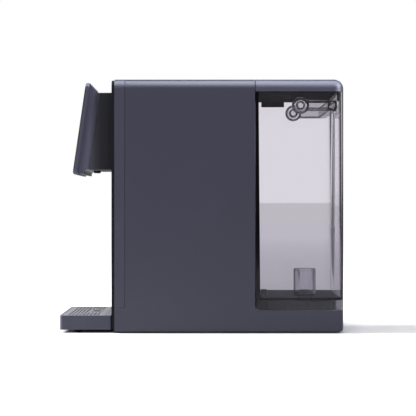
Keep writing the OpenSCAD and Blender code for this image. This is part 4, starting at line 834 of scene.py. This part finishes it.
class PURIFIER_OT_carry_handle(PieceOperator):
    """Clear handle: ringed hubs on the pins, channelled arms and a hollow grip across the tank"""

    bl_idname = "purifier.carry_handle"
    bl_label = "Carry handle"

    def execute(self, context):
        low, high = in_mm(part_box("carry_handle"))
        pin_low, pin_high = in_mm(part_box("handle_pins"))
        pivot = (pin_low + pin_high)[1:] / 2
        hub, tip, edge = pivot[0] - low[1], high[1], high[0]
        half, fillet = 8.25, 0.7
        shapes = []

        # A hub is a section of (radius, X) turned about the pin: the pivot plus r (0, cos t, sin t) plus X
        bore, boss, rim, draft = 4.08, 6.0, 2.5, 0.2
        inner_face, inner_web, outer_web, boss_face = edge - 8, edge - 5, edge - 3.2, edge - 0.8
        out = np.roll(circle(96)[1], 1, axis=1)
        rings = rounded([
            (bore, inner_face), (boss, inner_face), (boss + draft, inner_web), (hub - rim, inner_web),
            (hub - rim + draft, inner_face), (hub, inner_face), (hub, edge), (hub - rim + draft, edge),
            (hub - rim, outer_web), (boss + draft, outer_web), (boss, boss_face),
            (bore, boss_face)], fillet)

        # An arm is a channel section of (X, z) run along Y, from the hub's curve sqrt(hub^2 - z^2) to the
        # tip, where z is scaled by (h - n + n sqrt(1 - e^2)) / h over the last n millimetres
        back, face, web, nose = edge - 7, edge - 1, edge - 4.6, 6.5
        flange, root, clearance = half - 2.2, half - 2.6, 0.06
        beam = rounded([
            (back, -half), (face, -half), (face, -flange), (web, -root),
            (web, root), (face, flange), (face, half), (back, half)], fillet)
        run = np.concatenate([[0.0], np.linspace(0.15, 1, 40) ** 0.8])
        bow = np.sqrt(hub ** 2 - beam[:, 1] ** 2) + clearance
        depth = pivot[0] + bow + (tip - pivot[0] - bow) * run[:, None]
        end = np.clip((depth - (tip - nose)) / nose, 0, 0.999)
        taper = (half - nose + nose * np.sqrt(1 - end ** 2)) / half
        for side in (-1, 1):
            across = (side, 0, 0)
            shapes.append(carried(out * 0 + (0, *pivot), out, across, rings))
            shapes.append(skin(np.stack([
                side * beam[:, 0] + 0 * depth, depth, pivot[1] + beam[:, 1] * taper], axis=-1), False))

        # The grip is a cup section of (Y, z) run straight along X between the arms
        grip, mouth, trough, bed, grip_end = 7, 4.4, 4.2, 3.4 - half, edge - 7.1
        cup = rounded([
            (-grip, half), (-grip, -half), (grip, -half), (grip, half), (mouth, half), (trough, bed),
            (-trough, bed), (-mouth, half)], 3.2, 10)
        reach = np.linspace(-1, 1, 24) * grip_end
        shapes.append(skin(np.stack([
            reach[:, None] + 0 * cup[:, 0], tip - grip + cup[:, 0] + 0 * reach[:, None],
            pivot[1] + cup[:, 1] + 0 * reach[:, None]], axis=-1), False))
        piece("clear_carry_handle", joined(shapes), "deep", "handle", ["carry_handle"])
        return {"FINISHED"}


class PURIFIER_OT_drip_grille(PieceOperator):
    """Grey grille of the drip tray"""

    bl_idname = "purifier.drip_grille"
    bl_label = "Drip grille"

    def execute(self, context):
        dress("grille", ["drip_grille"])
        return {"FINISHED"}


class PURIFIER_OT_feet_and_seals(PieceOperator):
    """Rubber feet, seals and pump mounts"""

    bl_idname = "purifier.feet_and_seals"
    bl_label = "Feet and seals"

    def execute(self, context):
        dress("rubber", ["dock_seal", "prefilter_seal", "membrane_seal", "pump_mounts", "valve_poppet"])
        # Both feet are profiles of (radius, height) in millimetres, turned once
        sole = [
            (0, 0.3), (2.0, 0.3), (2.3, 0.0), (3.3, 0.0), (3.6, 0.3), (5.0, 0.3), (5.3, 0.0), (7.9, 0.0),
            (8.5, 0.2), (8.9, 0.6), (9.0, 1.0), (9.0, 2.3), (8.8, 2.4), (0, 2.4)]
        piece("ringed_feet", copies(turned(sole, 64), centres("rubber_feet")), "rubber", "purifier",
              ["rubber_feet"])
        dome = [
            (0, 0.25), (1.6, 0.25), (1.9, 0.0), (3.6, 0.0), (4.2, 0.15), (5.0, 0.6), (5.8, 1.3),
            (6.5, 2.2), (7.1, 3.3), (7.6, 4.3), (7.7, 4.8), (0, 4.8)]
        piece("domed_tray_feet", copies(turned(dome, 64), centres("tray_feet")), "rubber", "tray",
              ["tray_feet"])
        return {"FINISHED"}


class PURIFIER_OT_base_screws(PieceOperator):
    """Pan screws with a cross recess under the base"""

    bl_idname = "purifier.base_screws"
    bl_label = "Base screws"

    def execute(self, context):
        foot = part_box("base_screws")[0][2] / MM
        # The recess, head and shank as (radius, height), and how far the recess turns into a cross
        recess = [(0, 1.1), (0.5, 1.1), (1.0, 0.9), (1.3, 0.1), (1.4, 0.0)]
        shank = [
            (2.2, 0.0), (2.6, 0.2), (2.8, 0.7), (2.8, 1.7), (2.7, 1.8), (1.6, 1.8), (1.5, 1.9), (1.5, 13.4),
            (1.0, 14.0), (0, 14.0)]
        line = np.array(recess + shank)
        cross = [0, 0.35, 0.4, 0.4, 0.3] + [0] * len(shank)
        screw = turned(line + (0, foot), 48, cross)
        piece("cross_recess_screws", copies(screw, centres("base_screws")), "steel", "purifier",
              ["base_screws"])
        return {"FINISHED"}


class PURIFIER_OT_cartridge_bands(PieceOperator):
    """Printed bands round the two filter cartridges, one colour each"""

    bl_idname = "purifier.cartridge_bands"
    bl_label = "Cartridge bands"

    def execute(self, context):
        out = circle(128)[1]
        below_top, skin_mm, film_mm = 45, 0.02, 0.12
        # A band is a thin section of (outward, up) carried round the cartridge, wide above and thin below
        sections = [
            [(skin_mm, low), (film_mm, low + 0.1), (film_mm, high - 0.1), (skin_mm, high)]
            for low, high in ((-26, 0), (-33, -30))]
        for body, dressing in (("prefilter", "blue_print"), ("membrane", "green_print")):
            low, high = in_mm(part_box(f"{body}_cartridge"))
            middle, reach = (low + high) / 2, (high[0] - low[0]) / 2
            ring = out * reach + (middle[0], middle[1], high[2] - below_top)
            bands = joined([carried(ring, out, (0, 0, 1), section) for section in sections])
            piece(f"{body}_band", bands, dressing, body)
        return {"FINISHED"}


class PURIFIER_OT_spout_ring(PieceOperator):
    """Steel ring pressed into the mouth of the spout"""

    bl_idname = "purifier.spout_ring"
    bl_label = "Spout ring"

    def execute(self, context):
        low, high = in_mm(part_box("spout_nozzle"))
        out = circle(64)[1]
        # The lip is a section of (outward, up) carried round the mouth
        middle = ((low[0] + high[0]) / 2, (low[1] + high[1]) / 2, low[2])
        lip = [(2.3, 0.4), (2.3, -0.2), (2.5, -0.5), (3.1, -0.6), (3.9, -0.5), (4.2, -0.2), (4.2, -0.02),
               (2.95, -0.02), (2.95, 0.4)]
        piece("spout_ring", carried(out * 0 + middle, out, (0, 0, 1), lip), "steel", "purifier")
        return {"FINISHED"}


class PURIFIER_OT_lid_bead(PieceOperator):
    """Soft bead round the lid's liner, where the lid meets the tank"""

    bl_idname = "purifier.lid_bead"
    bl_label = "Lid bead"

    def execute(self, context):
        low, high = in_mm(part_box("lid_liner"))
        radius, below_top = 6.0, 1.1
        stand, thick, tall = 0.65, 0.6, 0.75
        # The path is the liner's outline: at angle t, a corner's centre plus radius (cos t, sin t)
        turn, out = circle(96)
        core = np.stack([
            np.where(np.cos(turn) >= 0, high[0] - radius, low[0] + radius),
            np.where(np.sin(turn) >= 0, high[1] - radius, low[1] + radius),
            0 * turn + high[2] - below_top], axis=-1)
        swell = np.linspace(0, 2 * np.pi, 10, endpoint=False)
        bead = np.stack([stand + thick * np.cos(swell), tall * np.sin(swell)], axis=-1)
        piece("lid_bead", carried(core + radius * out, out, (0, 0, 1), bead), "rubber", "lid")
        return {"FINISHED"}


class PURIFIER_OT_touch_marks(PieceOperator):
    """Pale printed marks on the touch glass: rings for the keys, a drop, level bars and dots"""

    bl_idname = "purifier.touch_marks"
    bl_label = "Touch marks"

    def execute(self, context):
        looks = context.scene.purifier_finishes
        low, high = in_mm(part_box("touch_glass"))
        lean = looks.panel_lean
        up = np.array([0, math.sin(lean), math.cos(lean)])
        out = np.array([0, -math.cos(lean), math.sin(lean)])
        glass = 1.2
        height = (high[2] - low[2] - glass * math.sin(lean)) / math.cos(lean)
        middle = np.array([0, low[1], low[2] + glass * math.sin(lean)]) + up * height / 2
        across = np.array([1.0, 0, 0])
        turn = circle(72)[0]
        cos, sin = np.cos(turn), np.sin(turn)
        shapes = []

        def stroke(u, v, width):
            """A closed line at (u, v) millimetres from the glass's middle, drawn as a low flat print."""
            line = middle + np.asarray(u)[:, None] * across + np.asarray(v)[:, None] * up
            step = np.roll(line, -1, axis=0) - np.roll(line, 1, axis=0)
            aside = np.cross(step / np.linalg.norm(step, axis=1)[:, None], out)
            half, foot, top, slope = width / 2, 0.015, 0.05, 0.03
            ink = [(-half, foot), (half, foot), (half - slope, top), (slope - half, top)]
            shapes.append(carried(line, aside, out, ink))

        # Keys: rings in a row
        key_level, key_places = -38, (-36, 0, 36)
        for u, reach in zip(key_places, (11, 13, 11)):
            stroke(u + reach * cos, key_level + reach * sin, 0.7)
        # A drop and a smaller one in it: an ellipse whose upper half is pulled in towards its point
        drop_level, drop_wide, drop_tall = 26, 11, 13
        upper = np.maximum(sin, 0)
        for scale in (1.0, 0.62):
            pull = scale * drop_wide * (1 - 0.32 * upper ** 3)
            stroke(pull * cos * (1 - 0.55 * upper ** 2), drop_level + scale * drop_tall * sin, 0.8)
        # Level bars that grow: ellipses on the square roots of cos t and sin t, which square their corners
        square_u, square_v = np.sign(cos) * np.abs(cos) ** 0.5, np.sign(sin) * np.abs(sin) ** 0.5
        bar_start, bar_pitch, bar_foot, half_wide = 30, 5.5, 16, 1.6
        for step in range(5):
            half_tall = 1.5 + 0.9 * step
            stroke(bar_start + bar_pitch * step + half_wide * square_u,
                   bar_foot + half_tall + half_tall * square_v, 0.5)
        # A row of dots, and a small ring in each key
        dot_start, dot_pitch, dot_level, dot, key_dot = -49, 6, 19, 1.1, 3.2
        for step in range(4):
            stroke(dot_start + dot_pitch * step + dot * cos, dot_level + dot * sin, 0.8)
        for u in key_places:
            stroke(u + key_dot * cos, key_level + key_dot * sin, 0.6)
        piece("touch_marks", joined(shapes), "print", "purifier")
        return {"FINISHED"}


class PURIFIER_OT_water_system(PieceOperator):
    """Filters, pumps, tubes, heater and boards inside the column"""

    bl_idname = "purifier.water_system"
    bl_label = "Water system"

    def execute(self, context):
        dress("natural", [
            "inner_frame", "filter_manifold", "heater_clips", "pure_water_cistern", "cistern_lid"])
        dress("cartridge", ["prefilter_cartridge", "membrane_cartridge"])
        dress("silicone", [
            "feed_tube", "pump_inlet_tube", "pressure_tube", "pure_tube", "hot_tube", "spout_tube",
            "concentrate_tube", "return_tube"])
        dress("coil", ["inlet_valve", "drain_valve"])
        dress("steel", ["pump_bracket", "valve_spring"])
        dress("can", ["pump_motor"])
        dress("aluminium", ["heater", "power_supply"])
        dress("board", ["control_board", "display_board"])
        return {"FINISHED"}


STEPS = (
    PURIFIER_OT_stage, PURIFIER_OT_housing, PURIFIER_OT_black_mouldings, PURIFIER_OT_touch_glass,
    PURIFIER_OT_clear_tank, PURIFIER_OT_carry_handle, PURIFIER_OT_drip_grille, PURIFIER_OT_feet_and_seals,
    PURIFIER_OT_water_system, PURIFIER_OT_base_screws, PURIFIER_OT_cartridge_bands, PURIFIER_OT_spout_ring,
    PURIFIER_OT_lid_bead, PURIFIER_OT_touch_marks,
)


class PURIFIER_PT_panel(bpy.types.Panel):
    """Sidebar panel with the object's steps and values"""

    bl_idname = "PURIFIER_PT_panel"
    bl_label = "Water purifier"
    bl_space_type = "VIEW_3D"
    bl_region_type = "UI"
    bl_category = "Purifier"

    def draw(self, context):
        for step in STEPS:
            self.layout.operator(step.bl_idname)
        for group in (context.scene.purifier_finishes, context.scene.purifier_stage):
            for name in group.bl_rna.properties.keys():
                if name not in ("rna_type", "name"):
                    self.layout.prop(group, name)


CLASSES = (PurifierFinishes, PurifierStage, *STEPS, PURIFIER_PT_panel)


def register():
    for kind in CLASSES:
        bpy.utils.register_class(kind)
    bpy.types.Scene.purifier_finishes = bpy.props.PointerProperty(type=PurifierFinishes)
    bpy.types.Scene.purifier_stage = bpy.props.PointerProperty(type=PurifierStage)


def unregister():
    del bpy.types.Scene.purifier_stage
    del bpy.types.Scene.purifier_finishes
    for kind in reversed(CLASSES):
        bpy.utils.unregister_class(kind)


def main():
    register()
    for step in STEPS:
        group, name = step.bl_idname.split(".")
        getattr(getattr(bpy.ops, group), name)()


if __name__ == "__main__":
    main()
